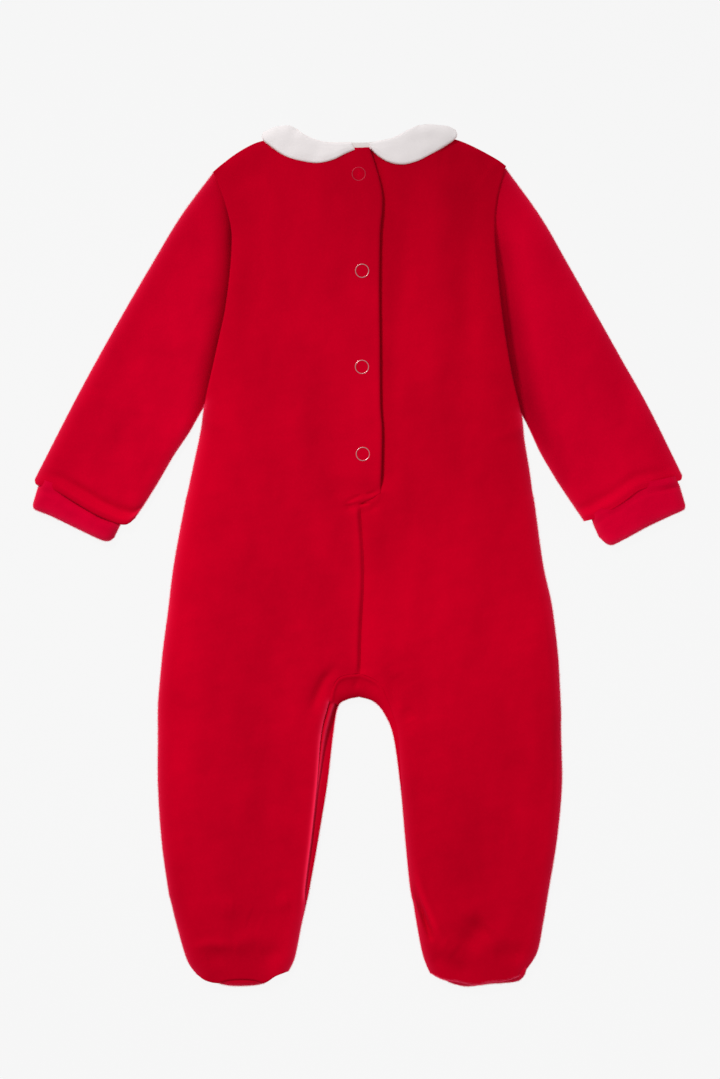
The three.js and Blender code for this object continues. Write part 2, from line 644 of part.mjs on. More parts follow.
function sole(half, toeLine) {
  const toe = alongCurve(toeLine);
  const place = (u, v) => {
    const [x, y] = toe(v);
    return [x, y + SOLE_DEPTH * u];
  };
  const span = () => ({ low: TUCK_LOW, high: TUCK_HIGH });
  const outline = makeOutline([{ points: sampled(toeLine), weight: () => 1, seam: false }], 3);
  const across = [0, 0.01, 0.04, 0.08, 0.12, 0.4, 0.7, 1];
  const along = Array.from({ length: 13 }, (_, k) => k / 12);
  const grid = foldedPiece(place, span, outline, along, across, () => [0, 1]);
  return closedSheet([half.sign < 0 ? grid : grid.map((row) => [...row].reverse())]);
}

// One half of the collar, on the back, over the shoulder and beneath the front.
function collar(half, table) {
  const backNeck = alongCurve(table.backNeck);
  const backOuter = alongCurve(table.backOuter);
  const frontNeck = alongCurve(table.frontNeck);
  const frontOuter = alongCurve(table.frontOuter);
  const fold = alongCurve(table.fold);
  const outline = makeOutline([{ points: sampled(table.fold), weight: () => 1, seam: false }]);
  const face = (neck, outer, side) => {
    const place = (u, v) => {
      const straight = mixPoint(neck(u), outer(u), v);
      const chord = mixPoint(neck(1), outer(1), v);
      const bend = fold(v);
      const amount = smooth(0, 1, u);
      return straight.map((value, k) => value + (bend[k] - chord[k]) * amount);
    };
    const along = [0, 0.15, 0.3, 0.45, 0.6, 0.72, 0.82, 0.9, 0.95, 0.98, 1];
    const across = [0, 0.1, 0.3, 0.5, 0.7, 0.9, 1];
    return along.map((u) => across.map((v) => {
      const [x, y] = place(u, v);
      const high = HEIGHT + GAP + CLOTH;
      const lift = side > 0 ? collarLift(half, x, y) : 0;
      const point = layer(outline, x, y, [0, -1], side, high / 2, high / 2);
      const flat = Math.abs(point.outer[2] - high / 2) / (high / 2);
      point.outer[2] += lift * flat;
      point.inner[2] += lift * flat;
      return point;
    }));
  };
  const upper = face(backNeck, backOuter, 1);
  const lower = face(frontNeck, frontOuter, -1);
  const grid = [...upper, ...[...lower].reverse().slice(1)];
  return closedSheet([half.sign < 0 ? grid : grid.map((row) => [...row].reverse())]);
}

// The collar keeps clear of the folds and of the flap beneath it.
function collarLift(half, x, y) {
  return Math.max(0, lap(half, x, y));
}

// The binding runs along the back neck, turns down at each side and follows the front neck.
function neckBinding() {
  const height = (curve, x) => {
    const line = sampled(curve);
    let k = 1;
    while (k < line.length - 1 && line[k][0] < x) k += 1;
    return mix(line[k - 1][1], line[k][1], clamp((x - line[k - 1][0]) / (line[k][0] - line[k - 1][0])));
  };
  const backHigh = (x) => HEIGHT + lap(x <= BINDING_START[0] ? HALVES.left : HALVES.right, x, 276);
  const frontLow = COLLAR_LIFT;
  const stations = [];
  const flat = (x, curve, top, bottom) => {
    stations.push({ y: height(curve, x), outer: [x, top], inner: [x, bottom] });
  };
  const turn = (sign, first) => {
    const centre = (HEIGHT + frontLow) / 2;
    const radius = (HEIGHT - frontLow) / 2;
    for (let k = 0; k <= 6; k += 1) {
      const angle = (first - (first * 2 * k) / 6) * (Math.PI / 2);
      const at = (r) => [sign * (BINDING_TURN + r * Math.cos(angle)), centre + r * Math.sin(angle)];
      const y = height(BACK_NECK, sign * BINDING_TURN);
      stations.push({ y, outer: at(radius), inner: at(radius - CLOTH) });
    }
  };
  for (const x of BINDING_START) flat(x, BACK_NECK, backHigh(x), backHigh(x) - CLOTH);
  turn(-1, 1);
  for (const x of BINDING_FRONT) flat(x, FRONT_NECK, frontLow, frontLow + CLOTH);
  turn(1, -1);
  for (const x of BINDING_END) flat(x, BACK_NECK, backHigh(x), backHigh(x) - CLOTH);
  const grid = stations.map(({ y, outer, inner }) => [0, 1].map((share) => {
    const edge = y + GAP + share * BINDING_WIDTH;
    return { outer: [outer[0], edge, outer[1]], inner: [inner[0], edge, inner[1]] };
  }));
  return closedSheet([grid.map((row) => [...row].reverse())]);
}

// A ring with a rounded top, standing just clear of the flap.
function snapRing([x, y]) {
  const points = [[RING_INNER, 0], [RING_OUTER, 0], [RING_OUTER, RING_HEIGHT * 0.5],
    [(RING_OUTER + RING_INNER) / 2, RING_HEIGHT], [RING_INNER, RING_HEIGHT * 0.5]];
  const floor = Math.max(...[0, 1, 2, 3].map((k) => {
    const angle = (k * Math.PI) / 2;
    return backTop(HALVES.left, x + RING_OUTER * Math.cos(angle), y + RING_OUTER * Math.sin(angle));
  })) + GAP;
  return turned(points, 22, [x, y, floor]);
}

function snapStud([x, y]) {
  const under = backTop(HALVES.right, x, y) - CLOTH - GAP - STUD_HEIGHT;
  const points = [[STUD_HOLE, 0], [STUD_RADIUS - 0.3, 0], [STUD_RADIUS, STUD_HEIGHT / 2],
    [STUD_RADIUS - 0.3, STUD_HEIGHT], [STUD_HOLE, STUD_HEIGHT]];
  return turned(points, 16, [x, y, under]);
}

// A closed profile turned about an upright axis.
function turned(profile, steps, [x, y, z]) {
  const positions = [];
  const faces = [];
  const count = profile.length;
  for (let k = 0; k < steps; k += 1) {
    const angle = (2 * Math.PI * k) / steps;
    for (const [r, h] of profile) positions.push(x + r * Math.cos(angle), y + r * Math.sin(angle), z + h);
    for (let j = 0; j < count; j += 1) {
      const a = k * count + j;
      const b = k * count + ((j + 1) % count);
      const c = ((k + 1) % steps) * count + j;
      const d = ((k + 1) % steps) * count + ((j + 1) % count);
      faces.push(a, c, d, a, d, b);
    }
  }
  const geometry = new THREE.BufferGeometry();
  geometry.setAttribute('position', new THREE.Float32BufferAttribute(positions, 3));
  geometry.setIndex(faces);
  return geometry;
}

function volume(geometry) {
  const p = geometry.getAttribute('position');
  const index = geometry.getIndex();
  const a = new THREE.Vector3();
  const b = new THREE.Vector3();
  const c = new THREE.Vector3();
  let sum = 0;
  for (let k = 0; k < index.count; k += 3) {
    a.fromBufferAttribute(p, index.getX(k));
    b.fromBufferAttribute(p, index.getX(k + 1));
    c.fromBufferAttribute(p, index.getX(k + 2));
    sum += a.dot(b.cross(c)) / 6;
  }
  return sum;
}

function facingOut(geometry) {
  if (volume(geometry) < 0) {
    const index = geometry.getIndex();
    for (let k = 0; k < index.count; k += 3) {
      const b = index.getX(k + 1);
      index.setX(k + 1, index.getX(k + 2));
      index.setX(k + 2, b);
    }
  }
  return geometry;
}

const group = new THREE.Group();
group.name = 'onesie_pajama';

function add(name, geometry, colour, { rough, metal }) {
  const material = new THREE.MeshStandardMaterial({ color: colour, roughness: rough, metalness: metal });
  const mesh = new THREE.Mesh(facingOut(geometry), material);
  mesh.name = name;
  group.add(mesh);
}

const addRed = (name, geometry) => add(name, geometry, COLOURS[name], RED);

addRed('back_left', backPanel(HALVES.left));
addRed('back_right', backPanel(HALVES.right));
addRed('front', frontPanel());
addRed('crotch_band', crotchBand());
addRed('sleeve_left', sleeve(HALVES.left, SLEEVE_LEFT));
addRed('sleeve_right', sleeve(HALVES.right, SLEEVE_RIGHT));
addRed('cuff_left', cuff(HALVES.left, SLEEVE_LEFT));
addRed('cuff_right', cuff(HALVES.right, SLEEVE_RIGHT));
addRed('sole_left', sole(HALVES.left, SOLE_LEFT));
addRed('sole_right', sole(HALVES.right, SOLE_RIGHT));
add('collar_left', collar(HALVES.left, COLLAR_LEFT), COLOURS.collar, WHITE);
add('collar_right', collar(HALVES.right, COLLAR_RIGHT), COLOURS.collar, WHITE);
add('neck_binding', neckBinding(), COLOURS.binding, WHITE);
SNAPS.forEach((centre, k) => {
  add(`snap_ring_${k + 1}`, snapRing(centre), COLOURS.ring, METAL);
  add(`snap_stud_${k + 1}`, snapStud(centre), COLOURS.stud, METAL);
});

// The origin is under the middle of the whole, on the surface.
const whole = new THREE.Box3().setFromObject(group);
const middle = whole.getCenter(new THREE.Vector3());
for (const mesh of group.children) {
  mesh.geometry.translate(-middle.x, -middle.y, -whole.min.z);
  mesh.geometry.computeVertexNormals();
}

export default group;
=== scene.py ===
import math

import bpy
import mathutils
import numpy as np
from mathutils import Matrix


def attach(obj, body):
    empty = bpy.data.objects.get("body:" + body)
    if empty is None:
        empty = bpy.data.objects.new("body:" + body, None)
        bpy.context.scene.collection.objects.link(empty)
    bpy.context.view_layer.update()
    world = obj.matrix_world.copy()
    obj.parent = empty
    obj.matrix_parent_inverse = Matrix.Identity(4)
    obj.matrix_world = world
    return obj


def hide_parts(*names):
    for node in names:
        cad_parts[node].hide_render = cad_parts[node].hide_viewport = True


# Infant's footed onesie in red velour, laid flat with its back up. Sizes are in millimetres on the
# tables and in metres on the meshes. +X is to the right, +Y towards the collar and +Z up.

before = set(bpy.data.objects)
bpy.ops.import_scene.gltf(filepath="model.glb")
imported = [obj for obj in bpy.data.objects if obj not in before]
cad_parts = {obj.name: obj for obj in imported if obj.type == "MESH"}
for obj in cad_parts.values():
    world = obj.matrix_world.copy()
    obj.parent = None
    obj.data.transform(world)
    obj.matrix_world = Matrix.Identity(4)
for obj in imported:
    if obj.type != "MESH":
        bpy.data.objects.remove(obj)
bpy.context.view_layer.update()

CLOTH = 1.5
GAP = 0.3
HEIGHT = 6.9
MIDDLE = HEIGHT / 2
RIM = 7.5
LIP = 1.3                     # radius to which a plain edge is rounded
STEP = 1.7                    # size of a mesh cell
FLAP_LIFT = 1.25
UNDERLAP_DROP = 0.9
ARMHOLE_LIFT = {-1: 1.4, 1: 4.0}  # how far the body's edge stands up over the left and right sleeve
VALLEY = 1.2                  # height of the sleeve where it goes under the body
PILE = 1.3                    # length of the fibres that stand out along an edge
FIBRE_RADIUS = 0.055
FLOOR_GAP = 0.15              # lowest height, a hair over the surface
COLLAR_LIFT = CLOTH + GAP
CENTRE = np.array([0.1, -0.4])  # the tables' point that lies on the origin

PIXEL = 0.68                  # size of one of the photograph's pixels on the garment
PHOTO_HEIGHT = 1079           # in pixels

# One row for each section of a half, from toe to shoulder: outer edge, the back's inner edge and the
# front's inner edge, each as x and y.
LEFT = np.array([
    [-110.2, -285.9, -48.2, -283.8, -48.2, -283.8],
    [-117.0, -275.7, -43.7, -274.0, -43.7, -274.0],
    [-123.8, -252.6, -39.4, -252.6, -39.4, -252.6],
    [-127.4, -238.0, -36.9, -240.2, -36.5, -240.2],
    [-129.9, -226.8, -36.7, -226.8, -33.7, -226.8],
    [-134.3, -194.1, -32.6, -194.1, -27.9, -194.1],
    [-136.7, -156.7, -28.6, -156.7, -21.8, -156.7],
    [-136.7, -122.7, -25.8, -122.7, -17.7, -122.7],
    [-136.7, -103.0, -21.1, -103.0, -14.5, -104.0],
    [-135.3, -85.3, -14.6, -84.6, -8.8, -98.9],
    [-133.3, -64.9, 0.6, -80.8, 0.0, -96.9],
    [-129.9, -39.1, 1.6, -51.3, 0.0, -51.3],
    [-125.8, -6.5, 3.3, -10.5, 0.0, -10.5],
    [-118.3, 34.3, 0.7, 33.0, 0.0, 35.0],
    [-116.6, 41.5, 14.6, 41.8, 0.0, 41.8],
    [-112.9, 58.8, 15.4, 60.0, 0.0, 60.0],
    [-107.4, 84.7, 15.8, 84.7, 0.0, 84.7],
    [-104.7, 103.0, 14.6, 103.0, 0.0, 103.0],
    [-97.2, 137.0, 14.3, 142.5, 0.0, 142.5],
    [-89.8, 173.1, 13.9, 180.0, 0.0, 176.0],
    [-86.4, 213.9, 14.4, 217.3, 0.0, 210.0],
    [-91.1, 239.0, 15.7, 246.0, 0.0, 234.0],
    [-99.3, 260.1, 7.2, 276.8, 0.0, 258.0],
])
RIGHT = np.array([
    [112.2, -284.6, 48.3, -284.6, 48.3, -284.6],
    [121.0, -271.0, 43.5, -272.3, 43.5, -272.3],
    [125.1, -251.3, 39.4, -251.3, 39.4, -251.3],
    [127.4, -238.0, 37.2, -238.0, 37.2, -238.0],
    [129.2, -226.8, 34.9, -226.8, 34.9, -226.8],
    [134.6, -194.1, 31.6, -194.1, 31.6, -194.1],
    [138.0, -156.7, 28.7, -156.7, 28.2, -156.7],
    [137.4, -122.7, 26.4, -122.7, 23.3, -122.7],
    [137.4, -107.1, 22.2, -107.1, 16.6, -107.1],
    [136.7, -92.1, 14.3, -88.1, 9.8, -99.9],
    [135.3, -68.3, 0.6, -80.8, 0.0, -96.9],
    [131.2, -35.0, 1.6, -51.3, 0.0, -51.3],
    [125.1, -6.5, 3.3, -10.5, 0.0, -10.5],
    [119.3, 35.0, 0.7, 33.0, 0.0, 35.0],
    [118.0, 41.5, 0.7, 41.8, 0.0, 41.8],
    [115.6, 58.8, -9.0, 60.0, 0.0, 60.0],
    [112.2, 79.2, -9.0, 84.7, 0.0, 84.7],
    [110.2, 96.9, -9.0, 103.0, 0.0, 103.0],
    [103.4, 125.5, -9.0, 142.5, 0.0, 142.5],
    [96.6, 169.7, -9.0, 180.0, 0.0, 176.0],
    [92.5, 215.2, -9.0, 217.3, 0.0, 210.0],
    [93.8, 241.1, -9.0, 244.5, 0.0, 234.0],
    [100.0, 264.2, -9.0, 276.6, 0.0, 258.0],
])
INNER_CORNERS = (10, 13, 14)
CROTCH_ROW = 10
BAND_LEFT = 3.2
BAND_RIGHT = 6.0
STRIP_ROW = 8.2               # the left leg's strip shows below this row, and the gusset above it
ARMHOLE_ROW = 17
LAST_ROW = len(LEFT) - 1

LEFT_TOP = [(-99.3, 260.1), (-86.4, 271.0), (-72.8, 279.1), (-61.9, 282.5), (-46.9, 285.6),
            (-36.7, 279.8), (-23.1, 277.1), (-11.6, 276.6), (7.2, 276.8)]
RIGHT_TOP = [(100.0, 264.2), (90.4, 271.0), (74.8, 279.1), (63.2, 283.2), (48.3, 285.9),
             (38.1, 280.5), (24.5, 277.4), (8.0, 276.6), (-9.0, 276.6)]
LEFT_FRONT_TOP = LEFT_TOP[:5] + [(-38.0, 277.0), (-26.0, 266.5), (-13.0, 260.0), (0.0, 258.0)]
RIGHT_FRONT_TOP = RIGHT_TOP[:5] + [(39.0, 277.0), (26.0, 266.5), (13.0, 260.0), (0.0, 258.0)]
LEFT_TOE = [(-110.2, -285.9), (-104.5, -289.8), (-96.5, -291.6), (-90.0, -289.8), (-82.0, -289.0),
            (-72.0, -289.4), (-64.0, -291.2), (-56.5, -286.8), (-48.2, -283.8)]
RIGHT_TOE = [(112.2, -284.6), (108.8, -286.8), (100.0, -289.7), (88.4, -291.0), (78.9, -292.6),
             (67.0, -290.4), (57.0, -288.9), (48.3, -284.6)]

SLEEVE_LEFT = {
    "outer": [(-99.0, 259.8), (-121.0, 230.2), (-140.8, 197.5), (-159.8, 164.9), (-178.2, 132.3),
              (-195.8, 99.6), (-220.7, 50.8)],
    "inner": [(-100.6, 105.7), (-106.6, 99.0), (-115.6, 83.3), (-126.5, 67.0), (-136.0, 50.7),
              (-146.2, 34.3), (-153.0, 24.2)],
    "tuck": [(-99.0, 259.8), (-88.6, 243.0), (-82.3, 213.9), (-84.4, 183.3), (-88.7, 159.5),
             (-94.2, 135.7), (-99.0, 114.0), (-100.6, 105.7)],
    "hem": [(-220.7, 50.8), (-219.6, 47.6), (-215.0, 46.0), (-206.0, 42.8), (-192.4, 34.8), (-177.1, 26.0),
            (-160.5, 20.2), (-153.0, 24.2)],
    "cuff": [(-216.6, 51.5), (-203.8, 46.8), (-190.0, 38.8), (-174.6, 29.8), (-160.6, 24.5)],
    "end": [(-221.8, 34.4), (-221.2, 31.4), (-217.6, 29.4), (-209.4, 26.2), (-192.4, 18.0), (-173.4, 9.4),
            (-166.8, 11.4)],
}
SLEEVE_RIGHT = {
    "outer": [(99.7, 262.6), (123.1, 230.2), (142.1, 197.5), (160.5, 164.9), (178.8, 132.3),
              (197.2, 99.6), (219.9, 53.6)],
    "inner": [(103.6, 99.6), (111.6, 94.2), (123.1, 70.4), (131.0, 56.6), (138.0, 45.4),
              (145.5, 34.3), (153.4, 22.6)],
    "tuck": [(99.7, 262.6), (89.6, 241.0), (88.2, 215.2), (89.4, 193.5), (92.2, 166.3),
             (97.4, 139.1), (101.4, 115.3), (103.6, 99.6)],
    "hem": [(219.9, 53.6), (219.0, 50.6), (214.8, 49.4), (206.8, 47.2), (191.5, 43.8), (178.2, 34.4),
            (162.7, 25.4), (153.4, 22.6)],
    "cuff": [(215.9, 53.5), (204.6, 51.0), (189.2, 47.6), (176.0, 38.3), (163.0, 30.4), (157.6, 25.4)],
    "end": [(221.9, 34.0), (221.4, 31.0), (218.0, 29.0), (211.5, 26.2), (195.8, 18.7), (179.5, 9.9),
            (170.7, 6.5), (163.4, 12.0)],
}

SOLE_DEPTH = 26
SOLE_LEFT = [(-97.5, -290.6), (-94.0, -292.2), (-85.7, -293.5), (-72.5, -293.2), (-64.5, -291.6),
             (-60.5, -289.0)]
SOLE_RIGHT = [(114.0, -281.8), (112.4, -286.5), (108.0, -290.2), (98.0, -291.6), (89.3, -292.1),
              (81.6, -293.1), (72.4, -293.8), (63.0, -291.6), (57.6, -288.4)]

COLLAR_LEFT = {
    "back_neck": [(-4.8, 279.8), (-18.4, 279.8), (-26.5, 281.2), (-32.6, 283.2), (-37.4, 285.6),
                  (-42.4, 289.3)],
    "back_outer": [(-2.7, 275.1), (-9.5, 272.3), (-17.7, 268.3), (-27.2, 266.2), (-38.1, 267.2),
                   (-49.0, 270.3), (-58.5, 276.4), (-65.6, 282.6), (-64.8, 287.4)],
    "fold": [(-42.4, 289.3), (-46.6, 291.9), (-52.4, 291.8), (-58.0, 290.8), (-64.8, 287.4)],
    "front_neck": [(-1.4, 260.6), (-12.0, 263.0), (-24.0, 269.0), (-34.0, 278.5), (-42.4, 289.3)],
    "front_outer": [(-2.6, 242.0), (-16.0, 237.5), (-31.0, 240.5), (-45.0, 250.5), (-55.0, 264.0),
                    (-62.5, 277.0), (-64.8, 287.4)],
}
COLLAR_RIGHT = {
    "back_neck": [(6.8, 279.7), (19.7, 282.2), (26.5, 284.6), (31.3, 287.3), (36.0, 289.7),
                  (41.0, 292.0)],
    "back_outer": [(7.6, 276.6), (11.6, 272.2), (19.0, 267.4), (28.6, 265.2), (38.1, 266.9), (47.6, 271.3),
                   (56.4, 276.4), (66.2, 283.6), (65.4, 289.2)],
    "fold": [(41.0, 292.0), (47.0, 292.9), (54.0, 292.3), (60.5, 291.6), (65.4, 289.2)],
    "front_neck": [(1.4, 260.6), (12.0, 263.0), (24.0, 269.0), (34.0, 279.5), (41.0, 292.0)],
    "front_outer": [(2.6, 242.0), (16.0, 237.5), (31.0, 240.5), (45.0, 250.5), (55.0, 264.0),
                    (62.8, 278.0), (65.4, 289.2)],
}
BINDING_WIDTH = 3.4
BACK_NECK = [(-38.0, 281.6), (-33.0, 279.4), (-23.1, 277.2), (-11.6, 276.6), (8.0, 276.9),
             (24.5, 277.6), (33.0, 279.6), (38.0, 282.0)]

SNAPS = [(-0.2, 258.7), (2.1, 192.8), (2.0, 127.5), (2.6, 68.3)]
RING_RADIUS = 4.5
RING_TUBE = 0.32

# Soft troughs and ridges of the back: points along the line, width, height at the line.
BACK_FOLDS = [
    ([(75.5, 268.0), (76.0, 200.0), (72.0, 90.0)], 8.0, -2.0),
    ([(53.0, 250.0), (55.0, 170.0), (50.0, 100.0)], 9.0, 1.3),
    ([(33.0, 255.0), (31.0, 205.0), (26.0, 160.0)], 6.0, -1.5),
    ([(46.0, 120.0), (58.0, 60.0)], 10.0, -1.0),
    ([(90.0, 120.0), (98.0, 40.0)], 9.0, 0.9),
    ([(-66.0, 250.0), (-72.0, 190.0), (-60.0, 130.0)], 10.0, -1.6),
    ([(-84.0, 200.0), (-86.0, 130.0)], 7.0, 0.8),
    ([(-40.0, 225.0), (-34.0, 150.0), (-44.0, 90.0)], 10.0, 1.0),
    ([(-28.0, 120.0), (-24.0, 55.0)], 8.0, -0.8),
    ([(-105.0, 60.0), (-112.0, -20.0), (-112.0, -90.0)], 10.0, 1.5),
    ([(-88.0, 30.0), (-84.0, -40.0)], 11.0, -0.8),
    ([(-46.0, 10.0), (-52.0, -60.0)], 12.0, 0.8),
    ([(-12.0, -12.0), (-10.0, -56.0)], 7.0, -0.6),
    ([(24.0, 16.0), (22.0, -40.0)], 9.0, -0.8),
    ([(64.0, 30.0), (72.0, -30.0), (64.0, -80.0)], 13.0, 0.9),
    ([(104.0, 10.0), (110.0, -60.0)], 9.0, -0.8),
    ([(-7.5, 35.0), (0.0, 37.6), (8.0, 39.6), (16.0, 42.8)], 1.5, 1.0),
    ([(-8.0, 36.2), (-3.0, 38.2), (2.0, 39.4)], 1.1, -1.3),
    ([(1.0, 34.0), (3.6, 34.6), (6.0, 34.9)], 0.8, -1.6),
    ([(4.5, 39.8), (8.0, 41.0), (12.0, 42.6)], 1.2, -1.1),
    ([(11.0, 37.0), (13.0, 38.6)], 1.4, 1.0),
    ([(-8.6, 31.4), (-5.0, 33.4)], 2.6, -1.0),
    ([(8.0, 30.6), (12.0, 33.0)], 2.4, -0.9),
    ([(125.8, -30.9), (131.2, -64.9), (134.0, -98.9), (134.6, -139.7), (134.0, -166.9),
      (132.0, -187.3)], 0.9, -0.7),
    ([(-31.0, -104.0), (-28.0, -95.0), (-24.0, -86.0), (-18.0, -78.0)], 2.7, -1.9),
    ([(-26.0, -112.0), (-22.5, -98.0)], 2.4, 0.7),
    ([(-42.0, -110.0), (-36.0, -84.0)], 5.0, 0.5),
    ([(20.0, -78.0), (25.0, -99.0), (26.0, -103.0)], 3.0, -1.1),
    ([(32.0, -104.0), (36.0, -113.0)], 3.6, -1.4),
    ([(34.0, -86.0), (44.0, -112.0)], 5.0, 0.8),
    ([(16.0, -72.0), (27.0, -84.0)], 4.0, 0.7),
    ([(-112.0, -267.0), (-100.0, -265.0), (-84.0, -267.0)], 2.8, 1.1),
    ([(-104.0, -276.0), (-92.0, -272.0)], 5.0, -1.5),
    ([(-66.0, -276.0), (-54.0, -268.0)], 5.0, -1.4),
    ([(-94.0, -240.0), (-84.0, -239.0)], 5.0, 1.0),
    ([(-56.0, -238.0), (-47.0, -236.0)], 5.0, 1.0),
    ([(-86.0, -265.0), (-70.0, -262.0)], 5.0, 1.2),
    ([(-76.0, -246.0), (-66.0, -250.0)], 6.0, -0.9),
    ([(91.0, -272.5), (101.0, -271.5), (113.0, -272.8)], 5.4, -1.5),
    ([(48.0, -274.0), (60.0, -279.0), (78.0, -284.0)], 5.0, -1.3),
    ([(72.0, -268.0), (80.0, -257.0), (88.0, -252.0)], 7.5, -3.2),
    ([(56.0, -264.0), (66.0, -271.0)], 5.0, 1.0),
    ([(37.5, -212.0), (43.0, -230.0), (49.5, -246.0), (57.0, -262.0)], 3.0, 1.8),
    ([(32.5, -212.0), (38.0, -232.0), (44.0, -246.0), (48.5, -260.0)], 1.7, -6.0),
    ([(60.0, -120.0), (72.0, -180.0), (66.0, -230.0)], 11.0, 1.1),
    ([(100.0, -60.0), (106.0, -140.0), (98.0, -220.0)], 10.0, -1.2),
    ([(122.0, -120.0), (118.0, -200.0)], 8.0, 0.9),
    ([(42.0, -130.0), (48.0, -190.0)], 7.0, -0.9),
    ([(-70.0, -80.0), (-74.0, -160.0), (-84.0, -226.0)], 12.0, -1.1),
    ([(-116.0, -110.0), (-116.0, -190.0)], 10.0, 0.9),
    ([(-46.0, -130.0), (-54.0, -220.0)], 8.0, 1.0),
    ([(88.0, 262.0), (60.0, 268.0)], 7.0, -0.8),
    ([(-88.0, 256.0), (-62.0, 262.0)], 7.0, -0.8),
]
# Painted light and shade on the back, with a few broad patches of tone: line, width, change of brightness
# (above 0 lighter).
BACK_TONE_AND_PAINTED_LIGHT = [
    ([(-62.0, 210.0), (-52.0, 90.0)], 26.0, -0.05),
    ([(60.0, 215.0), (56.0, 95.0)], 26.0, 0.06),
    # painted highlight over the flap, and painted shadow beside the flap's edge
    ([(1.0, 268.0), (2.0, 180.0), (2.0, 60.0)], 10.0, 0.07),
    ([(22.0, 250.0), (21.0, 160.0), (20.0, 60.0)], 5.0, -0.09),
    # painted shade: the legs darker, and darker beside the crotch and in the right foot's dent
    ([(-76.0, -110.0), (-80.0, -260.0)], 40.0, -0.07),
    ([(84.0, -100.0), (82.0, -250.0)], 42.0, -0.09),
    ([(24.0, -60.0), (34.0, -100.0)], 16.0, -0.07),
    ([(79.0, -256.0), (83.0, -249.0)], 11.0, -0.12),
    # painted highlights along the left leg's inner edge and on the right foot's ridge, and lighter inside
    # the top ring
    ([(-26.6, -122.7), (-29.4, -156.7), (-33.4, -194.1), (-37.4, -226.8), (-39.8, -250.0)], 1.0, 0.40),
    ([(38.0, -220.0), (42.5, -232.0), (48.0, -246.0), (56.0, -262.0)], 2.2, 0.16),
    ([(-0.8, 258.7), (0.6, 258.7)], 2.8, 0.24),
    # painted shade on the right foot's toe, and painted light on the left leg's outer side
    ([(58.0, -272.0), (84.0, -280.0), (106.0, -272.0)], 14.0, -0.09),
    ([(-120.0, 10.0), (-126.0, -100.0), (-118.0, -200.0)], 12.0, 0.05),
]
# The gusset is made a little darker over the crotch: line, width, change of brightness.
BAND_DARKER_TONE = [
    ([(-12.0, -92.0), (0.0, -86.0), (12.0, -92.0)], 12.0, -0.16),
]
# Painted light on the sleeves: a painted shadow along the right armhole and the right sleeve's inner edge,
# and a painted highlight easing the shade at the left armhole: line, width, change of brightness.
SLEEVE_PAINTED_LIGHT = [
    ([(96.0, 206.0), (101.5, 165.0), (109.0, 128.0), (117.0, 98.0), (128.0, 74.0),
      (138.0, 52.0)], 7.5, -0.28),
    ([(-86.0, 205.0), (-92.0, 160.0), (-103.0, 110.0)], 4.0, 0.22),
]
SLEEVE_FOLDS = [
    ([(-120.0, 205.0), (-150.0, 150.0), (-170.0, 100.0)], 8.0, -1.1),
    ([(-104.0, 190.0), (-126.0, 130.0)], 8.0, 0.9),
    ([(-180.0, 115.0), (-198.0, 70.0)], 8.0, 0.9),
    ([(-134.0, 80.0), (-156.0, 52.0)], 7.0, 0.8),
    ([(-150.0, 100.0), (-172.0, 62.0)], 7.0, -0.9),
    ([(118.0, 205.0), (146.0, 150.0), (166.0, 100.0)], 8.0, 0.9),
    ([(134.0, 204.0), (158.0, 156.0)], 8.0, -1.1),
    ([(132.0, 104.0), (158.0, 60.0)], 8.0, -1.0),
    ([(186.0, 110.0), (202.0, 70.0)], 8.0, 0.8),
    ([(176.0, 92.0), (188.0, 64.0)], 6.0, -0.9),
]


def clamp(x):
    return np.minimum(1.0, np.maximum(0.0, x))


def smooth(a, b, x):
    s = clamp((np.asarray(x, float) - a) / (b - a))
    return s * s * (3 - 2 * s)


def rounded(curl):
    """Share of the full height where the cloth curves over: 1 away from the edge and 0 at it."""
    return np.sqrt(np.maximum(0, 1 - curl**2))


def raised(xy, z):
    return np.concatenate([xy, z[..., None]], axis=-1)


def curve_at(points, rows, corners=()):
    """A smooth curve through the points, at row numbers; it turns sharply at the listed corners."""
    points = np.asarray(points, float)
    rows = np.atleast_1d(np.asarray(rows, float))
    last = len(points) - 1
    i = np.clip(np.floor(rows).astype(int), 0, last - 1)
    s = (rows - i)[:, None]
    p1, p2 = points[i], points[i + 1]
    start_plain = (i == 0) | np.isin(i, corners)
    end_plain = (i + 1 == last) | np.isin(i + 1, corners)
    p0 = np.where(start_plain[:, None], p1, points[np.maximum(i - 1, 0)])
    p3 = np.where(end_plain[:, None], p2, points[np.minimum(i + 2, last)])
    a, b, d = (p2 - p0) / 2, (p3 - p1) / 2, p2 - p1
    return p1 + a * s + (3 * d - 2 * a - b) * s**2 + (a + b - 2 * d) * s**3


def sampled(points, steps=12, corners=()):
    count = (len(points) - 1) * steps + 1
    return curve_at(points, np.linspace(0, len(points) - 1, count), corners)


def along(points, shares):
    """Points at shares of a smooth curve's length."""
    line = sampled(points)
    sums = np.concatenate([[0], np.cumsum(np.hypot(*np.diff(line, axis=0).T))])
    want = np.asarray(shares) * sums[-1]
    return np.stack([np.interp(want, sums, line[:, 0]), np.interp(want, sums, line[:, 1])], axis=-1)


def chord(points, shares):
    a, b = np.asarray(points[0], float), np.asarray(points[-1], float)
    return a + (b - a) * np.asarray(shares)[..., None]


def bulge(points, shares):
    """How far a curved edge lies from the straight line between its ends."""
    return along(points, shares) - chord(points, shares)


def line_distance(xy, line):
    """Distance to a line of points, and how far along it the nearest point is, from 0 to 1."""
    line = np.asarray(line, float)
    best = np.full(xy.shape[:-1], np.inf)
    where = np.zeros(xy.shape[:-1])
    for k in range(len(line) - 1):
        a, d = line[k], line[k + 1] - line[k]
        s = clamp(((xy - a) @ d) / (d @ d))
        distance = np.hypot(*np.moveaxis(xy - a - s[..., None] * d, -1, 0))
        near = distance < best
        best = np.where(near, distance, best)
        where = np.where(near, (k + s) / (len(line) - 1), where)
    return best, where


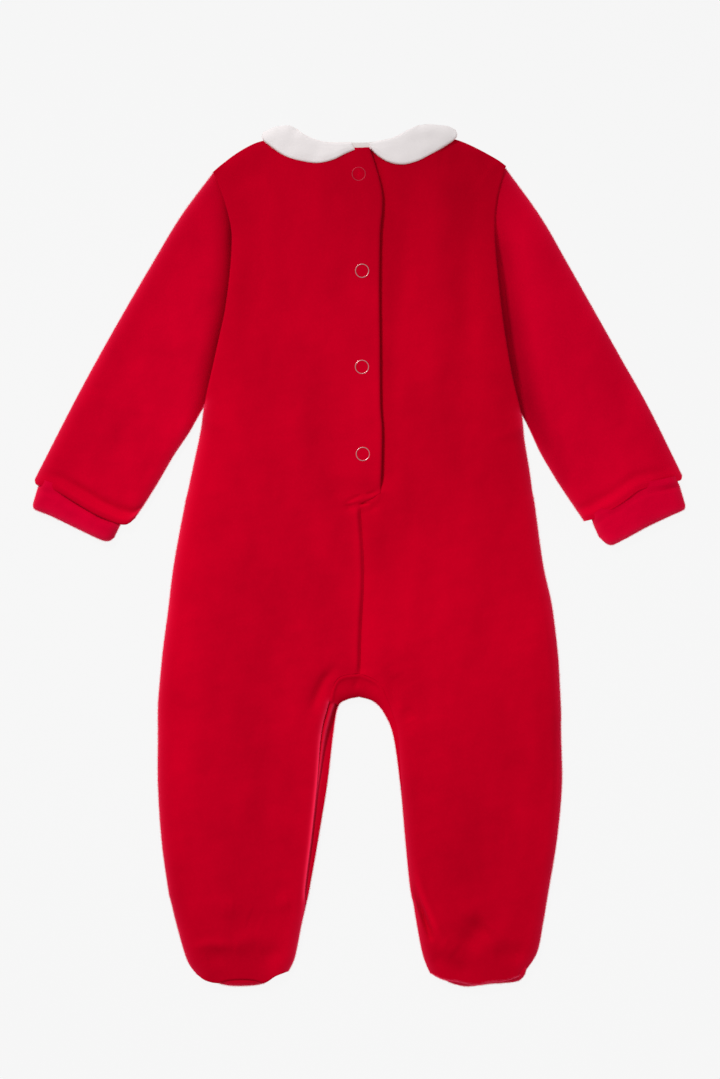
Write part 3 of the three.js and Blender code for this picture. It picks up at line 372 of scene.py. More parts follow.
def curl_at(xy, stretches, width=RIM):
    """How far the cloth curves over at each point, where 1 is the edge itself, and how far in it is."""
    curl = np.zeros(xy.shape[:-1])
    depth = np.full(xy.shape[:-1], 99.0)
    for line, weights in stretches:
        distance, where = line_distance(xy, line)
        weight = np.interp(where, np.linspace(0, 1, len(weights)), weights)
        curl = np.maximum(curl, weight * clamp(1 - distance / width))
        depth = np.minimum(depth, distance + 60 * (1 - weight))
    return curl, depth


def wobble(xy, size, seed=0.0):
    """Repeatable unevenness from about -1 to 1, in lumps of the given size."""
    total = np.zeros(xy.shape[:-1])
    for k in range(6):
        angle = 2.4 * k + seed
        wave = size * (0.75 + 0.13 * k) / (2 * math.pi)
        u = xy[..., 0] * math.cos(angle) + xy[..., 1] * math.sin(angle)
        v = xy[..., 1] * math.cos(angle) - xy[..., 0] * math.sin(angle)
        total += np.sin(u / wave + 1.7 * k + seed) * np.cos(v / (1.4 * wave) + 0.9 * k)
    return total / 2.6


def fold_field(xy, folds):
    total = np.zeros(xy.shape[:-1])
    for points, width, height in folds:
        distance, where = line_distance(xy, sampled(points, 6))
        fade = smooth(0, 0.3, where) * (1 - smooth(0.7, 1, where))
        total += height * (0.35 + 0.65 * fade) * np.exp(-math.log(2) * (distance / width) ** 2)
    return total


# Near an edge the mesh cells are small, so that the edge is round.
NEAR = np.array([0, 0.15, 0.4, 0.8, 1.3, 2.0, 2.9, 4.1, 5.6])


def spread(length, count):
    """Distances along a row of the given length, close together at both ends."""
    near = NEAR * min(1.0, length / 14)
    middle = np.linspace(near[-1], length - near[-1], count + 1)[1:-1]
    return np.concatenate([near, middle, length - near[::-1]])


def row_numbers(table, step=STEP, fine=None):
    """Row numbers about a cell apart, closer at the first and last row and between the fine limits."""
    numbers = np.linspace(0, LAST_ROW, 4000)
    side = curve_at(table[:, 0:2], numbers)
    inner = curve_at(table[:, 4:6], numbers)
    move = np.maximum(np.hypot(*np.diff(side, axis=0).T), np.hypot(*np.diff(inner, axis=0).T))
    if fine:
        low, high, times = fine
        level = inner[1:, 1]
        move = np.where((level > low) & (level < high), move * times, move)
    sums = np.concatenate([[0], np.cumsum(move)])
    return np.interp(spread(sums[-1], int(sums[-1] / step)), sums, numbers)


def body_patch(table, column, top, toe, rows, inside):
    """Points of a half of the body between its outer edge and the inner edge in the given column."""
    corners = {2: INNER_CORNERS, 4: (CROTCH_ROW,)}[column]
    side = curve_at(table[:, 0:2], rows)
    inner = curve_at(table[:, column:column + 2], rows, corners)
    length = np.hypot(*(inner - side).T)
    shares = np.stack([spread(value, inside) / value for value in length])
    xy = side[:, None] + (inner - side)[:, None] * shares[..., None]
    xy += bulge(top, shares) * smooth(16, LAST_ROW, rows)[:, None, None]
    xy += bulge(toe, shares) * (1 - smooth(0, 2.5, rows))[:, None, None]
    return xy


def edge_distance(xy, sides=(True, True, True, True)):
    """Distance in the grid from its first row, last row, first column and last column."""
    down = np.hypot(*np.moveaxis(np.diff(xy, axis=0), -1, 0))
    over = np.hypot(*np.moveaxis(np.diff(xy, axis=1), -1, 0))
    down = np.vstack([np.zeros((1, xy.shape[1])), np.cumsum(down, axis=0)])
    over = np.hstack([np.zeros((xy.shape[0], 1)), np.cumsum(over, axis=1)])
    each = [down, down[-1] - down, over, over[:, -1:] - over]
    return np.min([value for value, use in zip(each, sides) if use], axis=0)


def lip_drop(distance, radius=LIP):
    s = clamp(1 - distance / radius)
    return radius * (1 - np.sqrt(1 - s**2))


def body_outline(table, top, toe):
    """The edges of a half of the body that curve over to meet the front, with how far they do."""
    side_rows = np.linspace(0, ARMHOLE_ROW, 103)
    shares = np.linspace(0, 1, 61)
    toe_weight = np.maximum(1 - smooth(0, 0.17, shares), smooth(0.83, 1, shares))
    return [
        (curve_at(table[:, 0:2], side_rows), 1 - smooth(ARMHOLE_ROW - 1.2, ARMHOLE_ROW, side_rows)),
        (curve_at(table[:, 4:6], np.linspace(0, CROTCH_ROW, 121)), np.ones(121)),
        (along(toe, shares), toe_weight),
        (along(top[:5], shares), smooth(0, 0.2, shares) * (1 - smooth(0.8, 1, shares))),
    ]


OUTLINES = {-1: body_outline(LEFT, LEFT_TOP, LEFT_TOE), 1: body_outline(RIGHT, RIGHT_TOP, RIGHT_TOE)}
ARMHOLES = {side: curve_at(table[:, 0:2], np.linspace(ARMHOLE_ROW - 2, LAST_ROW, 60))
            for side, table in ((-1, LEFT), (1, RIGHT))}
TOES = {-1: sampled(LEFT_TOE), 1: sampled(RIGHT_TOE)}
FLAP_EDGE = curve_at(LEFT[:, 2:4], np.linspace(14, LAST_ROW, 90), INNER_CORNERS)
SEAM = curve_at(LEFT[:, 2:4], np.linspace(CROTCH_ROW, 13, 40), INNER_CORNERS)


def plump(distance):
    """The cloth stands a little higher away from the seams."""
    return 1.5 * smooth(0, 34, distance)


def bump(distance, width):
    return np.exp(-(distance / width) ** 2)


def lap_height(xy, side):
    """The flap's edge stands over the underlap, and the cloth beside it sinks a little."""
    x, y = xy[..., 0], xy[..., 1]
    above = smooth(40, 54, y)
    flap, _ = line_distance(xy, FLAP_EDGE)
    seam, _ = line_distance(xy, SEAM)
    below = (1 - smooth(28, 33, y)) * smooth(-84, -76, y)
    if side < 0:
        lift = above * smooth(-34, -6, x) * FLAP_LIFT + 0.5 * above * bump(flap - 2.0, 2.0)
        return lift + 1.1 * below * bump(seam - 2.9, 1.8) - 0.9 * below * bump(seam, 1.3)
    beside = np.where(x > np.interp(y, FLAP_EDGE[:, 1], FLAP_EDGE[:, 0]), bump(flap, 2.4), 1.0)
    drop = above * (0.8 * beside + 1.2 * bump(flap, 11.0)) + (1 - smooth(15, 30, x)) * above * UNDERLAP_DROP
    return -drop - 0.6 * below * bump(seam, 2.4) - 0.5 * below * bump(seam, 8.0)


def back_height(xy, side):
    """Height of the back's upper face. side is -1 for the left half and 1 for the right."""
    curl, depth = curl_at(xy, OUTLINES[side])
    flat = rounded(curl)
    armhole, _ = line_distance(xy, ARMHOLES[side])
    y = xy[..., 1]
    start = 215 if side < 0 else 180
    rise = ARMHOLE_LIFT[side] * bump(armhole, 13.0) * (1 - smooth(start, start + 46, y)) * smooth(96, 130, y)
    folds = fold_field(xy, BACK_FOLDS) * smooth(0, 5, depth)
    uneven = 0.22 * wobble(xy, 34, 0.4) + 0.10 * wobble(xy, 15, 1.1)
    toe, _ = line_distance(xy, TOES[side])
    depth = np.minimum(depth, toe)
    total = lap_height(xy, side) + folds + plump(depth) + rise + uneven * smooth(2, 14, depth)
    return MIDDLE + (HEIGHT - MIDDLE + total) * flat


def with_lip(xy, z, radius=LIP, keep=0.0):
    """Rounds the sheet's own edges, less so where keep is near 1, and gives the grid of 3-D points."""
    return raised(xy, z - lip_drop(edge_distance(xy), radius) * (1 - keep))


def turned_under(points, thick, sides=(True, True, True, True)):
    """Adds a row or column under each chosen edge."""
    def under(edge, inside):
        way = inside[..., :2] - edge[..., :2]
        way = way / np.maximum(1e-6, np.linalg.norm(way, axis=-1, keepdims=True))
        low = edge.copy()
        low[..., 2] -= thick
        back = low.copy()
        back[..., :2] += way * 1.2
        return low, back
    if sides[0]:
        low, back = under(points[0], points[3])
        points = np.concatenate([back[None], low[None], points])
    if sides[1]:
        low, back = under(points[-1], points[-4])
        points = np.concatenate([points, low[None], back[None]])
    if sides[2]:
        low, back = under(points[:, 0], points[:, 3])
        points = np.concatenate([back[:, None], low[:, None], points], axis=1)
    if sides[3]:
        low, back = under(points[:, -1], points[:, -4])
        points = np.concatenate([points, low[:, None], back[:, None]], axis=1)
    return points


def fibres(lines, seed, length=PILE, gap=0.1, loose=0.7):
    """Short thin fibres that stand out along lines of points, each with its outward way in X and Y."""
    chance = np.random.default_rng(seed)
    corners = []
    for line, way in lines:
        sums = np.concatenate([[0], np.cumsum(np.linalg.norm(np.diff(line, axis=0), axis=1))])
        stops = np.arange(0, sums[-1], gap)
        stops = np.clip(stops + chance.uniform(-0.4, 0.4, len(stops)) * gap, 0, sums[-1])
        place = np.stack([np.interp(stops, sums, line[:, k]) for k in range(3)], axis=-1)
        out = np.stack([np.interp(stops, sums, way[:, k]) for k in range(2)], axis=-1)
        turn = chance.uniform(-0.7, 0.7, len(stops))
        cos, sin = np.cos(turn), np.sin(turn)
        out = np.stack([out[:, 0] * cos - out[:, 1] * sin, out[:, 0] * sin + out[:, 1] * cos], axis=-1)
        out /= np.maximum(1e-6, np.linalg.norm(out, axis=-1, keepdims=True))
        across = np.stack([-out[:, 1], out[:, 0], np.zeros(len(out))], axis=-1) * FIBRE_RADIUS
        reach = length * chance.uniform(0.45, 1.0, len(stops))[:, None]
        rise = chance.uniform(-0.5, 0.5, len(stops))[:, None] * reach * loose + 0.1
        place[:, 2] += chance.uniform(-loose, loose, len(stops))
        root = place - np.concatenate([out * 0.4, 0 * rise], axis=-1)
        tip = place + np.concatenate([out * reach, rise], axis=-1)
        corners.append(np.stack([root - across, root + across, tip], axis=1))
    return np.concatenate(corners)


def edge_lines(points, edges, depth=0):
    """Lines of points along the named edges of a grid, or depth cells in from them, with their ways out."""
    pairs = {"first": (depth, depth + 4), "last": (-1 - depth, -5 - depth)}
    out = []
    for edge in edges:
        end, kind = edge.split("_")
        grid = points if kind == "row" else np.swapaxes(points, 0, 1)
        line, inside = (grid[k] for k in pairs[end])
        way = (line - inside)[:, :2]
        out.append((line, way / np.maximum(1e-6, np.linalg.norm(way, axis=-1, keepdims=True))))
    return out


def rim(points, edges, seed, use=slice(None), length=PILE):
    """Fibres along the named edges of a grid, sparser over the first millimetre from the edge."""
    hair = []
    for depth in range(5):
        lines = [(line[use], way[use]) for line, way in edge_lines(points, edges, depth)]
        hair.append(fibres(lines, seed + 7 * depth, length * (1 - 0.06 * depth), 0.1 * (1 + 1.5 * depth),
                           0.7 if depth == 0 else 0.15))
    return np.concatenate(hair)


def grid_faces(points, first, up):
    """The cells of a grid as faces, which look up or down, or outwards where up is 0."""
    rows, columns = points.shape[:2]
    place = points.reshape(-1, 3)
    index = np.arange(rows * columns).reshape(rows, columns)
    corners = [index[:-1, :-1], index[:-1, 1:], index[1:, 1:], index[1:, :-1]]
    faces = np.stack(corners, axis=-1).reshape(-1, 4)
    a, b, c = place[faces[:, 0]], place[faces[:, 1]], place[faces[:, 2]]
    normal = np.cross(b - a, c - a)
    facing = normal[:, 2].sum() * up if up else (normal * (a - place.mean(axis=0))).sum()
    if facing < 0:
        faces = faces[:, ::-1]
    return (faces + first).tolist()


def painted_sheen_near(place, edges):
    """How strongly a pink sheen is painted at each point. edges: line, most at the line, width."""
    painted_sheen = np.zeros(len(place))
    for line, most, width in edges:
        distance, _ = line_distance(place[:, :2], line)
        painted_sheen = np.maximum(painted_sheen, most * np.exp(-distance / width))
    return painted_sheen


def mesh_object(name, grids, material, up=1.0, hair=None, edges=(), painted_light_and_tone=(), tips=None):
    """A smooth mesh from grids of points in millimetres, with fibres, in place of the named solid."""
    place = np.zeros((0, 3))
    faces = []
    for points in grids:
        faces += grid_faces(points, len(place), up)
        place = np.concatenate([place, points.reshape(-1, 3)])
    kinds = [0] * len(faces)
    painted_sheen = painted_sheen_near(place, edges)
    tone = fold_field(place[:, :2], painted_light_and_tone)
    if hair is not None:
        faces += np.arange(len(place), len(place) + 3 * len(hair)).reshape(-1, 3).tolist()
        place = np.concatenate([place, hair.reshape(-1, 3)])
        kinds += [1] * len(hair)
        painted_sheen = np.concatenate([painted_sheen, np.full(3 * len(hair), 0.5)])
        tone = np.concatenate([tone, np.zeros(3 * len(hair))])
    place[:, 2] = np.maximum(FLOOR_GAP, place[:, 2])
    place = (place - np.array([CENTRE[0], CENTRE[1], 0])) * 0.001
    mesh = bpy.data.meshes.new(name)
    mesh.from_pydata(place.tolist(), [], faces)
    mesh.polygons.foreach_set("use_smooth", [True] * len(mesh.polygons))
    # Per point: a painted pink sheen near the edges, and painted light, shade and tone.
    mesh.attributes.new("painted_sheen", "FLOAT", "POINT").data.foreach_set("value", painted_sheen)
    mesh.attributes.new("painted_light_and_tone", "FLOAT", "POINT").data.foreach_set("value", tone)
    mesh.materials.append(material)
    if hair is not None:
        mesh.materials.append(tips or PAINTED_SHEEN_PILE)
        mesh.polygons.foreach_set("material_index", kinds)
    mesh.update()
    piece = bpy.data.objects.new(name, mesh)
    bpy.context.scene.collection.objects.link(piece)
    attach(piece, "root")
    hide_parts(name)
    return piece


# Materials


def linear(red, green, blue):
    """A colour from its 0 to 255 values on screen."""
    def one(value):
        value /= 255
        return value / 12.92 if value <= 0.04045 else ((value + 0.055) / 1.055) ** 2.4
    return (one(red), one(green), one(blue), 1.0)


class Nodes:
    """Short ways to add and link the nodes of one material."""

    def __init__(self, name):
        self.material = bpy.data.materials.new(name)
        self.material.use_nodes = True
        self.tree = self.material.node_tree
        self.tree.nodes.clear()
        self.out = self.tree.nodes.new("ShaderNodeOutputMaterial")
        coordinates = self.tree.nodes.new("ShaderNodeTexCoord")
        self.place = coordinates.outputs["Object"]

    def add(self, kind, **values):
        node = self.tree.nodes.new(kind)
        for name, value in values.items():
            setattr(node, name, value)
        return node

    def link(self, a, b):
        self.tree.links.new(a, b)

    def noise(self, scale, detail=2.0, stretch=(1, 1, 1), offset=(0, 0, 0)):
        mapping = self.add("ShaderNodeMapping")
        mapping.inputs["Scale"].default_value = stretch
        mapping.inputs["Location"].default_value = offset
        self.link(self.place, mapping.inputs["Vector"])
        texture = self.add("ShaderNodeTexNoise")
        texture.inputs["Scale"].default_value = scale
        texture.inputs["Detail"].default_value = detail
        self.link(mapping.outputs["Vector"], texture.inputs["Vector"])
        return texture.outputs["Fac"]

    def math(self, operation, a, b):
        node = self.add("ShaderNodeMath", operation=operation)
        for socket, value in zip(node.inputs, (a, b)):
            if isinstance(value, (int, float)):
                socket.default_value = value
            else:
                self.link(value, socket)
        return node.outputs[0]

    def multiplied(self, colour, level):
        """A fixed or linked colour, made lighter or darker by a linked level."""
        mix = self.add("ShaderNodeMix", data_type="RGBA", blend_type="MULTIPLY")
        mix.inputs["Factor"].default_value = 1.0
        if isinstance(colour, tuple):
            mix.inputs[6].default_value = colour
        else:
            self.link(colour, mix.inputs[6])
        self.link(level, mix.inputs[7])
        return mix.outputs[2]

    def bumped(self, shader, height, strength, distance):
        bump = self.add("ShaderNodeBump")
        bump.inputs["Strength"].default_value = strength
        bump.inputs["Distance"].default_value = distance
        self.link(height, bump.inputs["Height"])
        self.link(bump.outputs["Normal"], shader.inputs["Normal"])

    def principled(self, **values):
        shader = self.add("ShaderNodeBsdfPrincipled")
        for name, value in values.items():
            shader.inputs[name.replace("_", " ")].default_value = value
        self.link(shader.outputs[0], self.out.inputs["Surface"])
        return shader


def velour(name, colour, seed):
    """Brushed pile: soft uneven patches where the pile lies differently and a fine grain, with painted light
    and shade and a painted pink sheen from the mesh.
    """
    nodes = Nodes(name)
    shader = nodes.principled(Roughness=1.0)
    shader.inputs["Specular IOR Level"].default_value = 0.0
    shader.inputs["Sheen Weight"].default_value = 0.45
    shader.inputs["Sheen Roughness"].default_value = 0.35
    shader.inputs["Sheen Tint"].default_value = (1.0, 0.06, 0.22, 1.0)
    broad = nodes.noise(14.0, 2.0, (1, 0.35, 1), (seed, seed * 2, 0))
    patch = nodes.noise(44.0, 3.0, (1, 0.5, 1), (seed * 3, seed, 0))
    grain = nodes.noise(620.0, 2.0, (1, 0.8, 1), (0, seed, 0))

    def uneven(value, amount):
        return nodes.math("MULTIPLY", nodes.math("SUBTRACT", value, 0.5), amount)

    total = nodes.math("ADD", uneven(broad, 0.42), uneven(patch, 0.28))
    total = nodes.math("ADD", total, uneven(grain, 0.12))
    # Painted light, shade and tone from the mesh scale the colour, and a painted pink sheen is mixed in near
    # the edges.
    painted_light_and_tone = nodes.add("ShaderNodeAttribute", attribute_name="painted_light_and_tone")
    level = nodes.math("ADD", nodes.math("ADD", total, painted_light_and_tone.outputs["Fac"]), 1.0)
    painted_sheen = nodes.add("ShaderNodeAttribute", attribute_name="painted_sheen")
    cloth = nodes.add("ShaderNodeMix", data_type="RGBA")
    nodes.link(painted_sheen.outputs["Fac"], cloth.inputs["Factor"])
    cloth.inputs[6].default_value = colour
    cloth.inputs[7].default_value = PAINTED_SHEEN_PINK
    nodes.link(nodes.multiplied(cloth.outputs[2], level), shader.inputs["Base Color"])
    pile = nodes.math("ADD", nodes.math("MULTIPLY", grain, 0.6), nodes.math("MULTIPLY", patch, 1.2))
    nodes.bumped(shader, pile, 0.2, 0.0006)
    return nodes.material


def plain_cloth(name, colour, seed):
    nodes = Nodes(name)
    shader = nodes.principled(Roughness=0.9)
    shader.inputs["Specular IOR Level"].default_value = 0.2
    shader.inputs["Sheen Weight"].default_value = 0.15
    shader.inputs["Sheen Tint"].default_value = (1.0, 0.97, 0.96, 1.0)
    patch = nodes.noise(60.0, 3.0, (1, 1, 1), (seed, 0, 0))
    grain = nodes.noise(900.0, 2.0)
    level = nodes.math("ADD", nodes.math("MULTIPLY", patch, 0.05), 0.975)
    nodes.link(nodes.multiplied(colour, level), shader.inputs["Base Color"])
    nodes.bumped(shader, grain, 0.3, 0.0004)
    return nodes.material


def pile(name, colour):
    """Fibre tips in one flat colour: the red pile's is a painted sheen, lighter than the cloth, and the
    collar's a painted red reflection.
    """
    nodes = Nodes(name)
    shader = nodes.principled(Roughness=0.8)
    shader.inputs["Base Color"].default_value = colour
    shader.inputs["Specular IOR Level"].default_value = 0.1
    return nodes.material


def ring_metal(name, colour, roughness):
    nodes = Nodes(name)
    shader = nodes.principled(Roughness=roughness, Metallic=1.0)
    shader.inputs["Base Color"].default_value = colour
    return nodes.material


# Pink painted into the cloth near its edges: a painted sheen of the pile seen edge-on.
PAINTED_SHEEN_PINK = linear(236, 40, 78)
BODY_RED = velour("velour_body", linear(192, 0, 31), 0.0)
LEFT_RED = velour("velour_body_left", linear(193, 0, 32), 1.7)
# The right sleeve and cuff are painted lighter than the left, to make up for the weaker light on the right.
SLEEVE_REDS = {-1: velour("velour_sleeve", linear(200, 0, 36), 4.1),
               1: velour("velour_sleeve_right_painted_lighter", linear(213, 0, 40), 6.2)}
CUFF_REDS = {-1: velour("velour_cuff", linear(199, 0, 43), 2.3),
             1: velour("velour_cuff_right_painted_lighter", linear(216, 0, 46), 7.4)}
WHITE = plain_cloth("collar_cloth", linear(254, 247, 247), 2.0)
TAPE = plain_cloth("binding_cloth", linear(244, 236, 233), 5.0)
PAINTED_SHEEN_PILE = pile("velour_pile_painted_sheen", linear(240, 62, 100))
# The collar's fibres are tinted pink: a painted reflection of the red cloth.
WHITE_PILE_PAINTED_PINK = pile("collar_pile_painted_red_reflection", linear(250, 226, 223))
# The snap rings' metal is tinted pink: a painted reflection of the red pile around it.
METAL_PAINTED_PINK_REFLECTION = ring_metal("snap_metal", linear(226, 168, 172), 0.3)
# The sunk top ring is redder and duller: partly the pile lying over it, partly a painted reflection of the
# red cloth.
DULL_METAL_PAINTED_RED = ring_metal("snap_metal_under_pile_painted_red", linear(205, 62, 84), 0.6)


# Pieces


def back_panel(name, table, top, toe, side, material):
    rows = row_numbers(table, fine=(26, 50, 2.4))
    xy = body_patch(table, 2, top, toe, rows, 80)
    if side > 0:
        tuck = smooth(-82, -76, xy[..., 1]) * (1 - smooth(30, 36, xy[..., 1]))
        seam, _ = line_distance(xy, SEAM)
        xy[..., 0] -= 1.8 * tuck * bump(seam, 4.0)
    z = back_height(xy, side)
    curl, _ = curl_at(xy, OUTLINES[side])
    y = xy[..., 1]
    inner = smooth(0.5, 0.9, np.linspace(0, 1, xy.shape[1]))[None]
    stitched = 0.96 * (1 - smooth(42, 48, y)) * smooth(-88, -82, y)
    gusset = 0.97 * (1 - smooth(-84, -78, y)) * (smooth(-104, -99, y) if side < 0 else 1.0)
    sole = 0.5 * (1 - smooth(-286, -280, y))
    armhole = 0.6 * smooth(96, 110, y) * (1 - inner) * (side < 0)
    leg = 0.7 * inner * (1 - smooth(-106, -98, y)) * (side < 0)
    keep = np.maximum.reduce([curl**0.5, inner * stitched, inner * gusset, sole, armhole, leg])
    points = with_lip(xy, z, keep=keep)
    hair = [rim(points, ["first_column"], 3 + side, rows < ARMHOLE_ROW)]
    on_leg = rows < STRIP_ROW
    if side < 0:
        leg_edge = [(line[on_leg], way[on_leg]) for line, way in edge_lines(points, ["last_column"])]
        hair.append(fibres(leg_edge, 23, 0.5, 0.2, 0.1))
    else:
        hair.append(rim(points, ["first_row"], 13))
    # Painted pink sheen along the outline, and on the left half a painted highlight along the leg's inner
    # edge.
    silhouette = [(line, 0.5, 1.9) for line, _ in OUTLINES[side][:2]]
    if side < 0:
        silhouette.append((xy[on_leg, -1], 1.4, 0.9))
    return mesh_object(name, [turned_under(points, 2.6)], material, hair=np.concatenate(hair),
                       edges=silhouette, painted_light_and_tone=BACK_TONE_AND_PAINTED_LIGHT)


def front_rise(xy):
    across = 1 - smooth(70, 82, np.abs(xy[..., 0]))
    return COLLAR_LIFT * across * smooth(204, 222, xy[..., 1])


def front_half(table, top, toe, side):
    rows = row_numbers(table, 4.0)
    xy = body_patch(table, 4, top, toe, rows, 22)
    curl, _ = curl_at(xy, OUTLINES[side])
    flat = rounded(curl)
    z = MIDDLE - (MIDDLE - front_rise(xy)) * flat
    points = raised(xy, z)
    on_leg = rows <= CROTCH_ROW
    legs = [(line[on_leg], way[on_leg]) for line, way in edge_lines(points, ["last_column"])]
    return points, fibres(legs, 8 + side)


def front():
    halves = [front_half(LEFT, LEFT_FRONT_TOP, LEFT_TOE, -1),
              front_half(RIGHT, RIGHT_FRONT_TOP, RIGHT_TOE, 1)]
    grids = [points for points, _ in halves]
    hair = np.concatenate([fibres_of_half for _, fibres_of_half in halves])
    return mesh_object("front", grids, BODY_RED, up=-1.0, hair=hair)


def crotch_band():
    """The strip along the inseam: low and shaded on the left leg, and the gusset over the crotch."""
    left = np.linspace(BAND_LEFT, CROTCH_ROW, 260)
    right = np.linspace(CROTCH_ROW, BAND_RIGHT, 140)[1:]

    def both_legs(column, corners):
        return np.concatenate([curve_at(LEFT[:, column:column + 2], left, corners),
                               curve_at(RIGHT[:, column:column + 2], right, corners)])

    edge, seam = both_legs(4, (CROTCH_ROW,)), both_legs(2, INNER_CORNERS)
    row = np.concatenate([left, 2 * CROTCH_ROW - right])
    way = seam - edge
    length = np.maximum(0.8, np.hypot(*way.T))
    way = way / np.maximum(1e-6, np.hypot(*way.T))[:, None]
    shares = np.concatenate([[0, 0.02, 0.06, 0.12], np.linspace(0.18, 0.94, 22), [0.97, 1.0]])
    reach = shares[None] * (length + 1.6)[:, None]
    xy = edge[:, None] + way[:, None] * reach[..., None]
    from_seam = length[:, None] - reach
    row = row[:, None]
    gusset = smooth(8.08, STRIP_ROW, row)
    folded_over = 3.6 * smooth(5.4, 7.6, row)
    on_fold = 1 - smooth(0, 1.0, from_seam - folded_over)
    low = 4.4 - 2.5 * smooth(6.0, 7.8, row)
    strip = low + (6.3 - low) * on_fold - 0.8 * bump(from_seam - 0.2, 1.0)
    strip = strip + 0.5 * bump(from_seam - folded_over + 0.8, 0.9)
    arch = 7.05 + 0.7 * (1 - smooth(10.8, 12.4, row)) * bump(from_seam - 1.5, 1.5)
    arch = arch - 0.8 * bump(xy[..., 0] + 2.0, 2.4) * bump(from_seam - 7.0, 3.2)
    height = strip * (1 - gusset) + arch * gusset
    height = height - 1.4 * clamp(-from_seam / 1.6)
    curl = clamp(1 - reach / RIM) * gusset
    flat = rounded(curl)
    z = 3.4 + (height - 3.4) * flat
    points = raised(xy, z)
    on_leg = row[:, 0] < 8.1
    fold_line = (seam - way * folded_over)[on_leg]
    # A painted highlight along the strip's fold.
    return mesh_object("crotch_band", [points], BODY_RED, edges=[(fold_line, 0.8, 0.8)],
                       painted_light_and_tone=BAND_DARKER_TONE)


def armhole_distance(xy, side):
    table = LEFT if side < 0 else RIGHT
    line = curve_at(table[:, 0:2], np.linspace(9, LAST_ROW, 120))
    distance, _ = line_distance(xy, line)
    edge_x = np.interp(xy[..., 1], line[:, 1], line[:, 0])
    return np.where((xy[..., 0] - edge_x) * side >= 0, distance, -distance)


def folded(upper, lower):
    """One grid from an upper and a lower layer that meet along their first column."""
    return np.concatenate([lower[:, ::-1], upper[:, 1:]], axis=1)


def sleeve(name, table, side, hem_depth, hem_step):
    outer, inner = np.array(table["outer"]), np.array(table["inner"])
    last = len(outer) - 1
    rows = np.concatenate([np.linspace(0, 1.2, 90), np.linspace(1.2, last - 0.5, 105)[1:],
                           np.linspace(last - 0.5, last, 34)[1:]])
    a, b = curve_at(outer, rows), curve_at(inner, rows)
    length = np.hypot(*(b - a).T)
    shares = np.stack([spread(value, 50) / value for value in length])
    xy = a[:, None] + (b - a)[:, None] * shares[..., None]
    v = rows / last
    xy += bulge(table["tuck"], shares) * (1 - smooth(0, 0.6, v))[:, None, None]
    xy += bulge(table["hem"], shares) * smooth(0.55, 1, v)[:, None, None]
    out = armhole_distance(xy, side)
    curl, depth = curl_at(xy, [(sampled(outer), [1, 1]), (sampled(inner), [1, 1])])
    flat = rounded(curl)
    folds = fold_field(xy, SLEEVE_FOLDS) + 0.22 * wobble(xy, 30, 2.0 + side) + 0.1 * wobble(xy, 14, side)
    shoulder = smooth(208, 252, xy[..., 1]) if side < 0 else smooth(190, 240, xy[..., 1])
    valley = VALLEY + (6.3 - VALLEY) * shoulder
    valley = np.minimum(valley, 4.4) + (valley - np.minimum(valley, 4.4)) * smooth(-3, 0, out)
    climb = 1 - (1 - clamp(out / 14.0))**2.2 if side < 0 else smooth(2, 22, out)
    high = valley + (HEIGHT + plump(depth) + folds - valley) * climb
    low = (CLOTH + GAP) * (1 - smooth(1.2, 10, out))
    middle = (np.minimum(high, HEIGHT) + low) / 2
    hem = edge_distance(xy, (False, True, False, False))
    seam_shown = 0.3 + 0.7 * smooth(0.08, 0.4, shares)
    folded_hem = hem_depth * seam_shown * (1.1 * bump(hem - 3.8, 2.7) - 2.0 * bump(hem - 9.6, 3.4))
    upper = middle + (high + folded_hem - middle) * flat - lip_drop(hem, hem_step) * flat * seam_shown
    lower = middle + (low - middle) * flat
    top = raised(xy, upper)
    bottom = raised(xy, lower)
    points = folded(top, bottom)
    hair = rim(top, ["first_column", "last_column"], 20 + side)
    points = turned_under(points, 1.6, (False, True, False, False))
    # Painted pink sheen along the outer and inner edges.
    silhouette = [(sampled(outer, 6), 0.5, 1.9), (sampled(inner[2:], 6), 0.4, 1.6)]
    return mesh_object(name, [points], SLEEVE_REDS[side], up=0.0, hair=hair,
                       edges=silhouette, painted_light_and_tone=SLEEVE_PAINTED_LIGHT)


def cuff(name, table, side, sink):
    rows = spread(20.0, 14) / 20.0
    shares = spread(60.0, 40) / 60.0
    start, end = along(table["cuff"], shares), along(table["end"], shares)
    xy = start[None] + (end - start)[None] * rows[:, None, None]
    curl, _ = curl_at(xy, [(xy[:, 0], [1, 1]), (xy[:, -1], [1, 1])], 6.0)
    flat = rounded(curl)
    from_seam = edge_distance(xy, (True, False, False, False)) - 4.3
    from_end = edge_distance(xy, (False, True, False, False))
    sink = (sink - 2.2 * (1 - smooth(0.08, 0.4, shares))) * (1 - smooth(-0.5, 4.0, from_seam))
    swell = 0.9 * smooth(0, 7, from_seam) - sink + 0.2 * wobble(xy, 13, side)
    upper = MIDDLE + (HEIGHT - MIDDLE + swell) * flat - lip_drop(from_end, 3.6) * 0.8 * flat
    lower = MIDDLE - MIDDLE * flat
    top = raised(xy, upper)
    bottom = raised(xy, lower)
    out = from_seam[:, 0] > 0
    hair = np.concatenate([rim(top, ["first_column", "last_column"], 40 + side, out),
                           rim(top, ["last_row"], 44 + side, length=1.2)])
    # Painted pink sheen along the cuff's sides and end.
    return mesh_object(name, [folded(top, bottom)], CUFF_REDS[side], up=0.0, hair=hair,
                       edges=[(line, 0.5, 1.9) for line in (xy[:, 0], xy[:, -1], xy[-1])])


